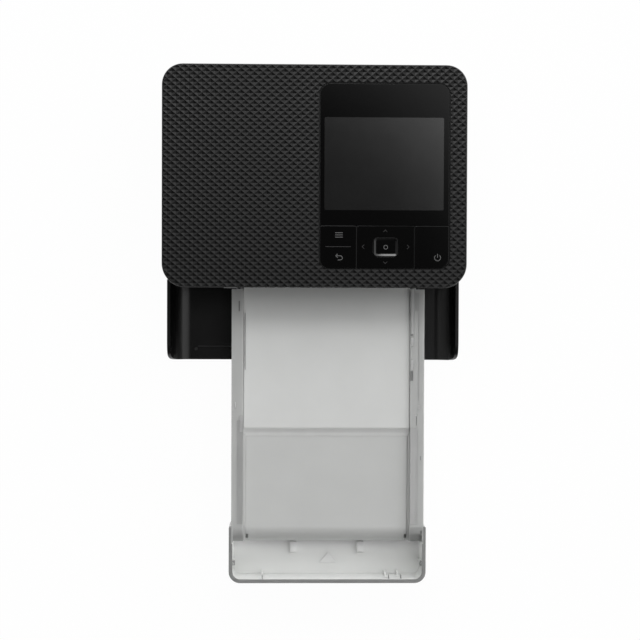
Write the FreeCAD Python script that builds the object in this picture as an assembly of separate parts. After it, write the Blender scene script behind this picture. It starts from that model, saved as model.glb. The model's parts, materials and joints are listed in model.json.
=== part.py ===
"""Compact photo printer with its front cover folded down and its paper cassette in place.

Millimetres. +X is right, +Y is back, +Z is up. The origin is under the middle of the whole object,
on the surface that it stands on.
"""
import FreeCAD
import Part

import math
import os

# Paper, which sets the width of the mechanism and the length of the cassette
paper_width = 100.0
paper_length = 178.0
paper_thickness = 4.5

# Whole object
case_wall = 2.2
rear_corner_radius = 12.5
front_corner_radius = 14.3
foot_height = 1.5
seam_gap = 0.2
overrun = 1.0
shaft_play = 0.05
slide_gap = 0.3

# Base case, side case and top cover
base_wall_height = 9.3
lid_skirt = 5.1
lid_edge_radius = 0.9
lid_rim_wall = 1.2
lid_rim_drop = 2.0
lid_rim_gap = 0.15
post_inset_x = 12.1
post_front_inset = 27.0
post_rear_inset = 12.0
post_radius = 4.0
post_height = 21.0
post_web = 1.6
screw_radius = 1.1
screw_head_radius = 2.4
screw_head_height = 1.1
screw_length = 9.0
screw_recess_depth = 1.2
screw_recess_play = 0.3
foot_radius = 5.5
foot_inset_x = 25.0
foot_front_inset = 23.5
foot_rear_inset = 15.0
vent_count = 7
vent_width = 2.0
vent_length = 34.0
vent_pitch = 5.0
vent_front_inset = 62.0

# Front cover and its hinge
cover_wall = 2.0
wing_depth = 16.5
wing_gap = 0.3
wing_tip_radius = 12.0
cover_ground_gap = 0.5
knuckle_radius = 2.5
knuckle_end_inset = 1.8
hinge_gap = 0.3
lug_width = 8.0
lug_side_inset = 39.1
lug_radius = 2.2
hinge_pin_radius = 1.0
hinge_pin_reach = 5.0
cover_rib_height = 0.9
cover_rib_width = 1.2
cover_rib_side_inset = 20.1
cover_rib_place = 8.5
cover_bump_width = 1.5
cover_bump_length = 5.0

# Front frame round the cassette slot
frame_set_back = 8.0
frame_wall = 2.0
frame_side_gap = 3.8
slot_side_gap = 1.2
slot_low_gap = 0.8
slot_height = 25.8
slot_lip = 1.4

# Control panel, display and keys
panel_width = 76.9
panel_right_inset = 10.9
panel_back_inset = 11.35
panel_front_inset = 11.75
panel_corner_radius = 6.0
panel_gap = 0.5
panel_sink = 0.1
panel_flange = 4.0
panel_flange_wall = 1.6
key_area_depth = 25.5
window_wall = 1.2
key_line_gap = 0.3
key_wall = 1.5
menu_key_width = 21.7
nav_key_width = 34.3
key_corner_radius = 1.0
key_stem_radius = 2.2
key_stem_gap = 0.5
key_stem_play = 0.35
key_pivot_radius = 0.6
key_pivot_share = 0.6
ok_key_width = 14.6
ok_key_depth = 11.2
ok_key_radius = 3.4
ok_key_gap = 0.3
ok_key_stand = 0.1
display_margin_x = 1.4
display_front_inset = 7.6
display_back_inset = 18.8
display_wall = 4.2
display_gap = 0.2
mat_wall = 1.0
key_board_wall = 1.2
board_wall = 1.6

# Paper cassette
paper_side_play = 2.7
cassette_floor_z = 10.0
cassette_wall = 1.6
rail_height = 21.5
rail_width_left = 7.2
rail_width_right = 8.6
rail_wall = 1.6
rail_end_gap = 0.8
rail_end_radius = 11.0
nose_margin = 4.0
nose_length = 31.0
nose_wall_height = 19.0
nose_end_height = 13.0
tray_length = 35.0
tray_widening = 1.5
tray_wall = 2.3
tray_corner_radius = 7.0
tray_nub_spread = 42.0
tray_nub_width = 4.0
tray_nub_length = 6.5
tray_nub_height = 3.4
tray_nub_place = 16.5
tray_rib_radius = 0.9
tray_rib_place = 11.6
tray_far_rib_place = 30.0
tray_tick_height = 9.0
tray_tick_wall = 0.8
tray_tick_length = 2.4
tray_tick_places = (-40.3, 36.4, 44.0)
ledge_width = 1.2
ledge_wall = 1.1
lower_ledge_width = 2.6
inner_cover_wall = 1.5
inner_cover_drop = 1.8
inner_cover_length = 87.0
inner_cover_tail = 4.0
inner_cover_edge_radius = 1.2
outer_cover_wall = 1.5
outer_cover_overlap = 8.0
outer_cover_curl_radius = 11.0
outer_cover_curl_gap = 3.5
outer_cover_side_step = 1.6
plate_gap = 0.3
paper_nose_gap = 1.0
paper_tray_reach = 2.6
lift_plate_wall = 1.0
lift_plate_gap = 0.4
lift_hinge_inset = 1.0
lift_pin_radius = 0.8
lift_pin_reach = 1.2
lift_tail = 2.0

# Paper path, rollers and their plates
nose_shaft_gap = 1.7
path_gap = 0.3
side_plate_gap = 5.0
side_plate_wall = 1.2
side_plate_front_inset = 12.0
side_plate_rear_inset = 17.0
side_plate_slope = 8.0
plate_flange_width = 7.0
plate_flange_inset = 34.0
plate_flange_length = 36.0
capstan_nose_gap = 1.0
capstan_radius = 4.0
platen_radius = 6.5
platen_gap = 0.1
pinch_radius = 3.5
pinch_shaft_radius = 1.5
pickup_radius = 8.0
pickup_drop = 0.8
pickup_core_radius = 5.5
pickup_tyre_width = 14.0
pickup_tyre_spread = 40.0
roller_shaft_radius = 2.5
roller_end_gap = 6.0
shaft_overhang = 1.5
bush_wall = 1.5
bush_flange = 0.7
bush_flange_wall = 0.8
pinch_spring_width = 4.0
pinch_spring_wall = 0.5
pinch_spring_length = 12.0
pinch_spring_curl = 1.6
guide_wall = 1.2
guide_drop = 0.6
guide_front_gap = 0.6
guide_slot_gap = 0.4
guide_rear_gap = 0.5
guide_rib_height = 2.4
guide_rib_place_shares = (0.25, 0.5, 0.75)
nose_tray_wall = 1.5
nose_tray_gap = 0.4
nose_stop_height = 7.0
rear_slot_margin = 5.0
rear_slot_height = 8.0
rear_slot_drop = 3.4

# Gears and motors on the left
gear_module = 0.6
gear_addendum_share = 0.75
gear_dedendum_share = 1.0
gear_backlash = 0.1
gear_width = 3.0
gear_gap = 1.0
gear_plate_gap = 1.5
capstan_teeth = 36
pickup_teeth = 24
reduction_small_teeth = 14
reduction_big_teeth = 42
pinion_teeth = 12
takeup_teeth = 20
reduction_direction_deg = -10.0
feed_motor_direction_deg = 35.0
ribbon_motor_direction_deg = 110.0
pressure_angle_deg = 20.0
gear_stud_radius = 1.5
bracket_wall = 1.2
bracket_margin = 3.0
bracket_post_radius = 2.4
bracket_foot = 8.0
bracket_foot_width = 12.0
motor_shaft_radius = 1.0
motor_shaft_depth = 4.0
feed_motor_radius = 11.0
ribbon_motor_radius = 8.0
motor_length = 21.0
motor_flat_share = 0.82
motor_cap_wall = 1.6
motor_tab_width = 2.4
motor_tab_wall = 0.5
motor_tab_length = 2.6
motor_room = 2.9

# Ink cassette, its door and its latch
takeup_capstan_distance = 15.0
takeup_shell_radius = 8.0
supply_shell_radius = 9.2
ink_path_gap = 1.2
ink_shell_wall = 1.2
ink_end_wall = 3.0
ink_end_gap = 4.0
ink_slit_width = 9.0
ink_slit_height = 2.2
spool_core_radius = 3.6
spool_journal_radius = 3.0
spool_side_gap = 0.5
takeup_roll_radius = 5.6
supply_roll_radius = 7.0
film_thickness = 0.15
film_lift = 0.4
film_rise = 2.2
film_run = 7.0
ink_handle_length = 18.0
ink_handle_room = 6.9
ink_handle_wall = 1.6
ink_handle_width = 29.0
ink_handle_height = 12.0
ink_window_gap = 0.6
coupler_key_side = 3.0
coupler_key_play = 0.15
coupler_key_length = 3.0
coupler_flange_radius = 4.0
door_front_inset = 36.0
door_rear_inset = 21.0
door_bottom = 17.0
door_lid_gap = 2.5
door_gap = 0.3
door_knuckle_radius = 1.6
door_pin_radius = 0.8
door_pin_reach = 4.0
door_boss_radius = 2.0
door_grip_radius = 9.0
door_grip_depth = 1.0
door_rib_height = 1.4
door_rib_width = 1.5
door_rib_place_shares = (0.2, 0.5, 0.8)
latch_rear_inset = 29.0
latch_height = 38.0
latch_post_radius = 2.0
latch_lever_wall = 1.5
latch_lever_width = 6.0
latch_lever_reach = 26.0
latch_lever_gap = 0.6
latch_tab_length = 3.0

# Thermal head and its arm
head_margin = 1.0
head_depth = 9.6
head_takeup_gap = 4.2
head_supply_gap = 6.0
head_bar_height = 5.6
head_strip_height = 1.0
head_line_radius = 0.8
head_path_gap = 2.4
head_plate_wall = 1.2
head_groove_place_shares = (0.2, 0.45, 0.7)
arm_clearance = 1.9
arm_wall = 1.2
arm_room = 3.3
arm_pivot_gap = 8.8
arm_rear_room = 27.0
arm_pivot_radius = 2.0
arm_lug_wall = 1.6
arm_lug_width = 6.0
arm_window_share = 0.36
arm_window_depth_share = 0.5
arm_window_place_shares = (0.25, 0.75)

# Boards and sockets
board_margin = 3.0
main_board_front_inset = 42.0
main_board_rear_inset = 21.0
board_post_height = 2.0
board_post_radius = 2.5
chip_height = 1.6
chip_side = 14.0
small_chip_side = 9.0
chip_place_share = 0.3
small_chip_place_shares = (0.62, 0.82)
capacitor_radius = 3.2
capacitor_height = 4.6
capacitor_place_shares = (0.2, 0.35, 0.65)
capacitor_rear_inset = 9.0
connector_length = 16.0
connector_width = 4.5
connector_height = 3.4
connector_place_shares = (0.2, 0.5, 0.8)
port_board_width = 32.0
port_board_front_inset = 86.0
port_board_depth = 29.0
port_board_gap = 2.9
usb_width = 9.0
usb_height = 3.2
usb_depth = 7.4
usb_wall = 0.35
usb_tongue = 0.7
usb_front_inset = 92.0
port_play = 0.25
card_front_inset = 21.0
card_socket_width = 27.0
card_socket_depth = 26.0
card_socket_height = 4.0
card_socket_z = 30.2
card_slot_width = 24.6
card_slot_height = 2.5
card_shelf_wall = 1.5
inlet_side_inset = 22.6
inlet_z = 19.0
inlet_width = 10.0
inlet_depth = 12.0
inlet_bore_radius = 2.8
inlet_pin_radius = 0.85
inlet_mouth_radius = 4.2

# Places that follow from the sizes above
channel_width = paper_width + paper_side_play
cassette_width = channel_width + rail_width_left + rail_width_right
nose_width = paper_width + nose_margin * 2
cassette_reach = (paper_length + paper_nose_gap + cassette_wall + tray_length - nose_length
                  - paper_tray_reach)
gear_room = gear_plate_gap * 2 + gear_width * 2 + gear_gap
motor_stack = bracket_wall + motor_length + motor_tab_length + motor_room
left_room = side_plate_gap + side_plate_wall + gear_room + motor_stack + case_wall
right_room = side_plate_gap - ink_end_gap + ink_handle_length + ink_handle_room + case_wall
body_width = left_room + nose_width + right_room
cassette_centre_x = (left_room - right_room) / 2

capstan_place = nose_length + capstan_nose_gap + capstan_radius
takeup_place = capstan_place + takeup_capstan_distance
platen_place = takeup_place + takeup_shell_radius + head_takeup_gap + head_depth / 2
supply_place = platen_place + head_depth / 2 + head_supply_gap + supply_shell_radius
arm_pivot_place = supply_place + supply_shell_radius + arm_pivot_gap
body_depth = arm_pivot_place + arm_rear_room

path_height = (cassette_floor_z + nose_wall_height + nose_shaft_gap - pickup_radius + pickup_drop
               + roller_shaft_radius)
arm_bottom = path_height + ink_path_gap + supply_shell_radius * 2 + arm_clearance
arm_top = arm_bottom + arm_wall
body_height = arm_top + arm_room + display_wall + window_wall + panel_sink * 2

half_width = body_width / 2
overall_length = body_depth + cassette_reach
back_y = overall_length / 2
front_y = back_y - body_depth
inner_half = half_width - case_wall
floor_top = foot_height + case_wall
base_top = floor_top + base_wall_height
lid_line = body_height - lid_skirt
lid_underside = body_height - case_wall
hinge_y = front_y + knuckle_radius
hinge_z = foot_height + cover_ground_gap + knuckle_radius
wing_sweep = math.hypot(wing_depth - knuckle_radius, knuckle_radius)
side_front_y = hinge_y + wing_sweep + wing_gap
floor_front_y = hinge_y + knuckle_radius + hinge_gap
frame_half = half_width - front_corner_radius - frame_side_gap
frame_front_y = front_y + frame_set_back
cover_top = lid_line - seam_gap
lug_spread = body_width - lug_side_inset * 2
cover_rib_length = body_width - cover_rib_side_inset * 2

panel_right = half_width - panel_right_inset
panel_left = panel_right - panel_width
panel_back_y = back_y - panel_back_inset
panel_front_y = front_y + panel_front_inset
panel_top = body_height - panel_sink
window_front_y = panel_front_y + key_area_depth
carrier_top = lid_underside
carrier_bottom = carrier_top - panel_flange_wall
key_back_y = window_front_y - key_line_gap
key_middle_y = (key_back_y + panel_front_y) / 2
nav_left = panel_left + menu_key_width + key_line_gap
nav_middle_x = nav_left + nav_key_width / 2
power_left = nav_left + nav_key_width + key_line_gap
mat_top = carrier_bottom
key_board_top = mat_top - mat_wall
key_board_bottom = key_board_top - key_board_wall

cassette_left = cassette_centre_x - cassette_width / 2
cassette_right = cassette_centre_x + cassette_width / 2
channel_left = cassette_left + rail_width_left
channel_right = cassette_right - rail_width_right
rail_top = cassette_floor_z + rail_height
cassette_floor_top = cassette_floor_z + cassette_wall
rail_front_y = front_y - rail_end_gap
cassette_end_y = front_y - cassette_reach
tray_back_y = cassette_end_y + tray_length
nose_left = cassette_centre_x - nose_width / 2
nose_right = cassette_centre_x + nose_width / 2
nose_end_y = front_y + nose_length
inner_cover_top = rail_top - inner_cover_drop
inner_cover_bottom = inner_cover_top - inner_cover_wall
inner_cover_front_y = front_y - inner_cover_length
outer_cover_top = inner_cover_bottom - plate_gap
outer_cover_bottom = outer_cover_top - outer_cover_wall
lower_ledge_top = outer_cover_bottom - plate_gap
lift_bottom = cassette_floor_top + lift_plate_gap
lift_top = lift_bottom + lift_plate_wall
lift_hinge_y = tray_back_y + lift_hinge_inset
lift_hinge_z = (lift_bottom + lift_top) / 2
lift_left = cassette_centre_x - paper_width / 2
lift_right = cassette_centre_x + paper_width / 2
paper_back_y = nose_end_y - cassette_wall - paper_nose_gap

plate_left_inner = nose_left - side_plate_gap
plate_left_outer = plate_left_inner - side_plate_wall
plate_right_inner = nose_right + side_plate_gap
plate_right_outer = plate_right_inner + side_plate_wall
capstan_y = front_y + capstan_place
capstan_z = path_height - capstan_radius
platen_y = front_y + platen_place
platen_z = path_height - platen_gap - platen_radius
pinch_z = path_height + path_gap + pinch_radius
pickup_z = path_height - pickup_drop + pickup_radius
feed_centre_distance = gear_module * (capstan_teeth + pickup_teeth) / 2
pickup_y = capstan_y - math.sqrt(feed_centre_distance ** 2 - (pickup_z - capstan_z) ** 2)
roller_left = nose_left + roller_end_gap / 2
roller_right = nose_right - roller_end_gap / 2
shaft_right = plate_right_outer + shaft_overhang
bush_radius = roller_shaft_radius + bush_wall
gear_right = plate_left_outer - gear_plate_gap
gear_left = gear_right - gear_width
big_gear_right = gear_left - gear_gap
big_gear_left = big_gear_right - gear_width
bracket_right = big_gear_left - gear_plate_gap
bracket_left = bracket_right - bracket_wall


def toward(y, z, distance, direction_deg):
    """A point at a distance and direction from another in the side view."""
    angle = math.radians(direction_deg)
    return y + distance * math.cos(angle), z + distance * math.sin(angle)


reduction_distance = gear_module * (capstan_teeth + reduction_small_teeth) / 2
reduction_y, reduction_z = toward(capstan_y, capstan_z, reduction_distance, reduction_direction_deg)
feed_motor_distance = gear_module * (reduction_big_teeth + pinion_teeth) / 2
feed_motor_y, feed_motor_z = toward(reduction_y, reduction_z, feed_motor_distance, feed_motor_direction_deg)
takeup_y = front_y + takeup_place
takeup_z = path_height + ink_path_gap + takeup_shell_radius
supply_y = front_y + supply_place
supply_z = path_height + ink_path_gap + supply_shell_radius
ribbon_motor_distance = gear_module * (takeup_teeth + pinion_teeth) / 2
ribbon_motor_y, ribbon_motor_z = toward(takeup_y, takeup_z, ribbon_motor_distance, ribbon_motor_direction_deg)
ink_left = plate_left_inner + ink_end_gap
ink_right = plate_right_inner - ink_end_gap
spool_left = ink_left + ink_end_wall + spool_side_gap
spool_right = ink_right - ink_end_wall - spool_side_gap
film_z = path_height + film_lift
door_hinge_x = half_width - door_knuckle_radius
door_hinge_z = door_bottom + door_knuckle_radius
door_front_y = front_y + door_front_inset
door_back_y = back_y - door_rear_inset
door_length = door_back_y - door_front_y
door_top = lid_line - door_lid_gap
inlet_x = -half_width + inlet_side_inset
latch_y = back_y - latch_rear_inset
latch_post_right = ink_right + ink_handle_length + latch_lever_gap + latch_lever_wall
arm_pivot_y = front_y + arm_pivot_place
arm_pivot_z = arm_bottom - arm_pivot_radius - shaft_play
head_width = paper_width + head_margin * 2
head_left = cassette_centre_x - head_width / 2
head_right = cassette_centre_x + head_width / 2
head_bottom = path_height + head_path_gap


# Shapes used by several pieces

def box(x0, x1, y0, y1, z0, z1):
    """A block between two corners."""
    return Part.makeBox(x1 - x0, y1 - y0, z1 - z0, FreeCAD.Vector(x0, y0, z0))


def rod(radius, x0, x1, y, z):
    """A round bar along X."""
    return Part.makeCylinder(radius, x1 - x0, FreeCAD.Vector(x0, y, z), FreeCAD.Vector(1, 0, 0))


def rod_y(radius, x, y0, y1, z):
    """A round bar along Y."""
    return Part.makeCylinder(radius, y1 - y0, FreeCAD.Vector(x, y0, z), FreeCAD.Vector(0, 1, 0))


def post(radius, x, y, z0, z1):
    """A round bar along Z."""
    return Part.makeCylinder(radius, z1 - z0, FreeCAD.Vector(x, y, z0))


def tube(outer, inner, x0, x1, y, z):
    """A round tube along X."""
    return rod(outer, x0, x1, y, z).cut(rod(inner, x0 - overrun, x1 + overrun, y, z))


def join(first, *others):
    """One solid from shapes that touch."""
    return first.fuse(list(others)).removeSplitter()


def rounded_block(x0, x1, y0, y1, z0, z1, front_radius, back_radius):
    """A block whose upright edges are rounded, with one radius at the front and one at the back."""
    corners = [
        (x0, y0, front_radius, 180.0),
        (x1, y0, front_radius, 270.0),
        (x1, y1, back_radius, 0.0),
        (x0, y1, back_radius, 90.0),
    ]
    arcs = []
    ends = []
    for x, y, radius, start_deg in corners:
        centre_x = x + radius if x == x0 else x - radius
        centre_y = y + radius if y == y0 else y - radius
        turn = [math.radians(start_deg + share * 90.0) for share in (0.0, 0.5, 1.0)]
        points = [FreeCAD.Vector(centre_x + radius * math.cos(a), centre_y + radius * math.sin(a), z0)
                  for a in turn]
        arcs.append([Part.Arc(*points).toShape()] if radius else [])
        ends.append((points[0], points[2]))
    outline = []
    for index, arc in enumerate(arcs):
        outline += arc
        outline.append(Part.makeLine(ends[index][1], ends[(index + 1) % len(ends)][0]))
    face = Part.Face(Part.Wire(outline))
    return face.extrude(FreeCAD.Vector(0, 0, z1 - z0))


def side_profile(points, x0, x1):
    """A straight-edged outline in the side view, drawn as (y, z) and made solid from x0 to x1."""
    corners = [FreeCAD.Vector(x0, y, z) for y, z in points]
    face = Part.Face(Part.makePolygon(corners + corners[:1]))
    return face.extrude(FreeCAD.Vector(x1 - x0, 0, 0))


def body_block(inset, z0, z1):
    """The printer's own outline, drawn in by an inset."""
    return rounded_block(-half_width + inset, half_width - inset, front_y + inset, back_y - inset,
                         z0, z1, front_corner_radius - inset, rear_corner_radius - inset)


def gear(teeth, x0, x1, y, z, bore_radius, phase):
    """A spur gear along X with involute flanks. One tooth points along the phase angle."""
    pitch_radius = gear_module * teeth / 2
    base_radius = pitch_radius * math.cos(math.radians(pressure_angle_deg))
    tip_radius = pitch_radius + gear_module * gear_addendum_share
    root_radius = pitch_radius - gear_module * gear_dedendum_share

    def involute(radius):
        roll = math.acos(min(1, base_radius / radius))
        return math.tan(roll) - roll

    half_tooth = math.pi / teeth / 2 - gear_backlash / pitch_radius / 4 + involute(pitch_radius)
    low_radius = max(root_radius, base_radius)
    flank = [(root_radius, half_tooth - involute(low_radius)),
             (pitch_radius, half_tooth - involute(pitch_radius)),
             (tip_radius, half_tooth - involute(tip_radius))]
    points = []
    for tooth in range(teeth):
        middle = phase + math.tau * tooth / teeth
        rising = [(radius, middle - half) for radius, half in flank]
        falling = [(radius, middle + half) for radius, half in reversed(flank)]
        points += [(y + radius * math.cos(a), z + radius * math.sin(a)) for radius, a in rising + falling]
    blank = side_profile(points, x0, x1)
    return blank.cut(rod(bore_radius, x0 - overrun, x1 + overrun, y, z)) if bore_radius else blank


def meshing_phase(phase, teeth, next_teeth, y, z, next_y, next_z):
    """The phase that lets the next gear's teeth fall between this gear's."""
    direction = math.atan2(next_z - z, next_y - y)
    return direction + math.pi - (phase - direction) * teeth / next_teeth + math.pi / next_teeth


# Cases

def screw_places():
    """Where the four case screws stand."""
    return [(side * (half_width - post_inset_x), y)
            for side in (-1, 1)
            for y in (front_y + post_front_inset, back_y - post_rear_inset)]


def case_plan(inset, z0, z1):
    """The case outline with room left at both front corners for the wings of the front cover."""
    plan = body_block(inset, z0, z1)
    middle = box(-frame_half, frame_half, floor_front_y, side_front_y, z0, z1)
    return plan.cut(box(-body_width, body_width, front_y - overrun, side_front_y, z0 - overrun,
                        z1 + overrun)), plan.common(middle)


def board_post_places(x0, x1, y0, y1):
    """The four corners where a board is held."""
    return [(x, y) for x in (x0 + board_post_radius, x1 - board_post_radius)
            for y in (y0 + board_post_radius, y1 - board_post_radius)]


def main_board_outline():
    """Left, right, front and back of the main board."""
    board_front = front_y + main_board_front_inset
    return plate_left_inner + board_margin, plate_right_inner - board_margin, board_front, \
        back_y - main_board_rear_inset


def port_board_outline():
    """Left, right, front and back of the port board."""
    left = -inner_half + port_board_gap
    board_front = front_y + port_board_front_inset
    return left, left + port_board_width, board_front, board_front + port_board_depth


def usb_box(inset, x0, x1):
    """The oval of the USB socket, drawn in by an inset and made solid along X."""
    y0 = front_y + usb_front_inset + inset
    y1 = y0 + usb_width - inset * 2
    z0 = floor_top + board_post_height + board_wall + inset
    z1 = z0 + usb_height - inset * 2
    radius = (z1 - z0) / 2
    middle_z = (z0 + z1) / 2
    return join(box(x0, x1, y0 + radius, y1 - radius, z0, z1),
                rod(radius, x0, x1, y0 + radius, middle_z),
                rod(radius, x0, x1, y1 - radius, middle_z))


def make_base_case():
    floor, floor_middle = case_plan(0, foot_height, floor_top)
    outer, _ = case_plan(0, floor_top, base_top)
    inner = body_block(case_wall, floor_top - overrun, base_top + overrun)
    shape = join(floor, floor_middle, outer.cut(inner))
    shape = shape.cut(usb_box(-port_play, -half_width - overrun, -inner_half + overrun))
    for x, y in screw_places():
        shape = shape.cut(post(screw_radius, x, y, foot_height - overrun, floor_top + overrun))
        shape = shape.cut(post(screw_head_radius + screw_recess_play, x, y, foot_height - overrun,
                               foot_height + screw_recess_depth))
    for side in (-1, 1):
        lug_x0 = side * lug_spread / 2 - lug_width / 2
        lug = rod(lug_radius, lug_x0, lug_x0 + lug_width, hinge_y, hinge_z)
        arm = box(lug_x0, lug_x0 + lug_width, hinge_y, floor_front_y + lug_radius,
                  hinge_z - lug_radius, floor_top)
        shape = join(shape, lug, arm)
        shape = shape.cut(rod(hinge_pin_radius, lug_x0 - overrun, lug_x0 + lug_width + overrun,
                              hinge_y, hinge_z))
    posts = board_post_places(*main_board_outline()) + board_post_places(*port_board_outline())
    shape = join(shape, *[post(board_post_radius, x, y, floor_top, floor_top + board_post_height)
                          for x, y in posts])
    for index in range(vent_count):
        y = front_y + vent_front_inset + index * vent_pitch
        shape = shape.cut(box(cassette_centre_x - vent_length / 2, cassette_centre_x + vent_length / 2,
                              y, y + vent_width, foot_height - overrun, floor_top + overrun))
    return shape


def rear_slot(z_gap):
    """The slot in the back wall through which the sheet passes."""
    z0 = path_height - rear_slot_drop + z_gap
    return box(cassette_centre_x - paper_width / 2 - rear_slot_margin,
               cassette_centre_x + paper_width / 2 + rear_slot_margin,
               back_y - case_wall - overrun, back_y + overrun, z0, z0 + rear_slot_height)


def make_side_case():
    outer, _ = case_plan(0, base_top, lid_line)
    inner = body_block(case_wall, base_top - overrun, lid_line + overrun)
    shape = outer.cut(inner)
    walls = []
    for x, y in screw_places():
        side = math.copysign(1, x)
        wall_x = side * (inner_half + case_wall / 2)
        low_z = base_top
        high_z = floor_top + post_height
        walls.append(post(post_radius, x, y, floor_top, high_z))
        walls.append(box(min(x, wall_x), max(x, wall_x), y - post_web / 2, y + post_web / 2, low_z, high_z))
    shelf_front = front_y + card_front_inset
    walls.append(box(-inner_half - case_wall / 2, -inner_half + card_socket_depth, shelf_front,
                     shelf_front + card_socket_width, card_socket_z - card_shelf_wall, card_socket_z))
    for y0 in (door_front_y - door_gap - door_pin_reach, door_back_y + door_gap):
        boss = rod_y(door_boss_radius, door_hinge_x, y0, y0 + door_pin_reach, door_hinge_z)
        walls.append(boss.common(body_block(0, base_top, lid_line)))
    shape = join(shape, *walls)
    for x, y in screw_places():
        shape = shape.cut(post(screw_radius, x, y, floor_top - overrun, foot_height + screw_length))
    shape = shape.cut(rod_y(door_pin_radius, door_hinge_x, door_front_y - door_gap - door_pin_reach,
                            door_back_y + door_gap + door_pin_reach, door_hinge_z))
    shape = shape.cut(box(inner_half - door_boss_radius, half_width + overrun, door_front_y - door_gap,
                          door_back_y + door_gap, door_bottom - door_gap,
                          door_top + door_gap))
    slot_y = shelf_front + (card_socket_width - card_slot_width) / 2
    slot_z = card_socket_z + (card_socket_height - card_slot_height) / 2
    shape = shape.cut(box(-half_width - overrun, -inner_half + overrun, slot_y - port_play,
                          slot_y + card_slot_width + port_play, slot_z - port_play,
                          slot_z + card_slot_height + port_play).cut(
                              box(-inner_half, 0, front_y, back_y, floor_top, lid_line)))
    shape = shape.cut(rear_slot(0))
    shape = shape.cut(rod_y(inlet_mouth_radius, inlet_x, back_y - case_wall, back_y + overrun, inlet_z))
    return shape


def make_top_cover():
    shape = body_block(0, lid_line, body_height)
    edges = [edge for edge in shape.Edges
             if abs(edge.BoundBox.ZMin - body_height) < seam_gap and edge.BoundBox.ZLength < seam_gap]
    shape = shape.makeFillet(lid_edge_radius, edges)
    shape = shape.cut(body_block(case_wall, lid_line - overrun, lid_underside))
    rim_inset = case_wall + lid_rim_gap
    rim = body_block(rim_inset, lid_line - lid_rim_drop, lid_underside).cut(
        body_block(rim_inset + lid_rim_wall, lid_line - lid_rim_drop - overrun, lid_underside))
    rim = rim.cut(box(-half_width, half_width, front_y, side_front_y + frame_wall + lid_rim_gap,
                      lid_line - lid_rim_drop - overrun, body_height))
    band = body_block(case_wall / 2, lid_underside - lid_rim_wall, lid_underside).cut(
        body_block(rim_inset + lid_rim_wall, lid_underside - lid_rim_wall - overrun, lid_underside))
    shape = join(shape, rim, band)
    return shape.cut(panel_block(-panel_gap, lid_underside - overrun, body_height + overrun))


# Hinge pins, screws and feet

def make_cover_hinge_pins():
    half_length = lug_width / 2 + hinge_pin_reach
    return [rod(hinge_pin_radius, side * lug_spread / 2 - half_length, side * lug_spread / 2 + half_length,
                hinge_y, hinge_z) for side in (-1, 1)]


def make_door_hinge_pins():
    spans = [(door_front_y - door_gap - door_pin_reach, door_front_y + door_pin_reach),
             (door_back_y - door_pin_reach, door_back_y + door_gap + door_pin_reach)]
    return [rod_y(door_pin_radius, door_hinge_x, y0, y1, door_hinge_z) for y0, y1 in spans]


def make_case_screws():
    head_top = foot_height + screw_recess_depth
    return [join(post(screw_radius, x, y, head_top - screw_head_height, foot_height + screw_length),
                 post(screw_head_radius, x, y, head_top - screw_head_height, head_top))
            for x, y in screw_places()]


def make_foot_pads():
    return [post(foot_radius, side * (half_width - foot_inset_x), y, 0, foot_height)
            for side in (-1, 1)
            for y in (front_y + foot_front_inset, back_y - foot_rear_inset)]


# Front cover

def make_front_cover():
    """The cover is drawn shut and then folded down about its hinge."""
    low_z = hinge_z - knuckle_radius
    back = front_y + wing_depth
    shell = body_block(seam_gap, low_z, cover_top).cut(
        body_block(seam_gap + cover_wall, low_z - overrun, cover_top + overrun))
    shell = shell.cut(box(-body_width, body_width, back, back_y + overrun, low_z - overrun, body_height))
    corner = box(-body_width, body_width, back - wing_tip_radius, back + overrun,
                 cover_top - wing_tip_radius, cover_top + overrun)
    corner = corner.cut(rod(wing_tip_radius, -body_width, body_width, back - wing_tip_radius,
                            cover_top - wing_tip_radius))
    shell = shell.cut(corner)
    knuckle_half = half_width - front_corner_radius - knuckle_end_inset
    shell = shell.cut(box(-knuckle_half, knuckle_half, front_y - overrun, hinge_y + knuckle_radius,
                          low_z - overrun, hinge_z))
    knuckle = rod(knuckle_radius - seam_gap, -knuckle_half, knuckle_half, hinge_y, hinge_z)
    skin_back = front_y + seam_gap + cover_wall
    rib_z = cover_top - cover_rib_place
    rib = box(-cover_rib_length / 2, cover_rib_length / 2, skin_back - seam_gap, skin_back + cover_rib_height,
              rib_z - cover_rib_width / 2, rib_z + cover_rib_width / 2)
    additions = [knuckle, rib]
    for side in (-1, 1):
        bump_x = side * (cover_rib_length / 2 + cover_bump_width / 2)
        additions.append(box(bump_x - cover_bump_width / 2, bump_x + cover_bump_width / 2,
                             skin_back - seam_gap, skin_back + cover_rib_height,
                             rib_z + cover_rib_width / 2 - cover_bump_length, rib_z + cover_rib_width / 2))
    shape = join(shell, *additions)
    for side in (-1, 1):
        middle = side * lug_spread / 2
        gap_half = lug_width / 2 + hinge_gap
        shape = shape.cut(rod(knuckle_radius + hinge_gap, middle - gap_half, middle + gap_half,
                              hinge_y, hinge_z))
        bore_half = lug_width / 2 + hinge_pin_reach + hinge_gap
        shape = shape.cut(rod(hinge_pin_radius + shaft_play, middle - bore_half, middle + bore_half,
                              hinge_y, hinge_z))
    shape.rotate(FreeCAD.Vector(0, hinge_y, hinge_z), FreeCAD.Vector(1, 0, 0), 90.0)
    return shape


# Front frame

def slot_box(inset, y0, y1):
    """The hole in the front frame through which the cassette's nose goes."""
    z0 = cassette_floor_z - slot_low_gap + inset
    return box(nose_left - slot_side_gap + inset, nose_right + slot_side_gap - inset, y0, y1,
               z0, z0 + slot_height - inset * 2)


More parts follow.
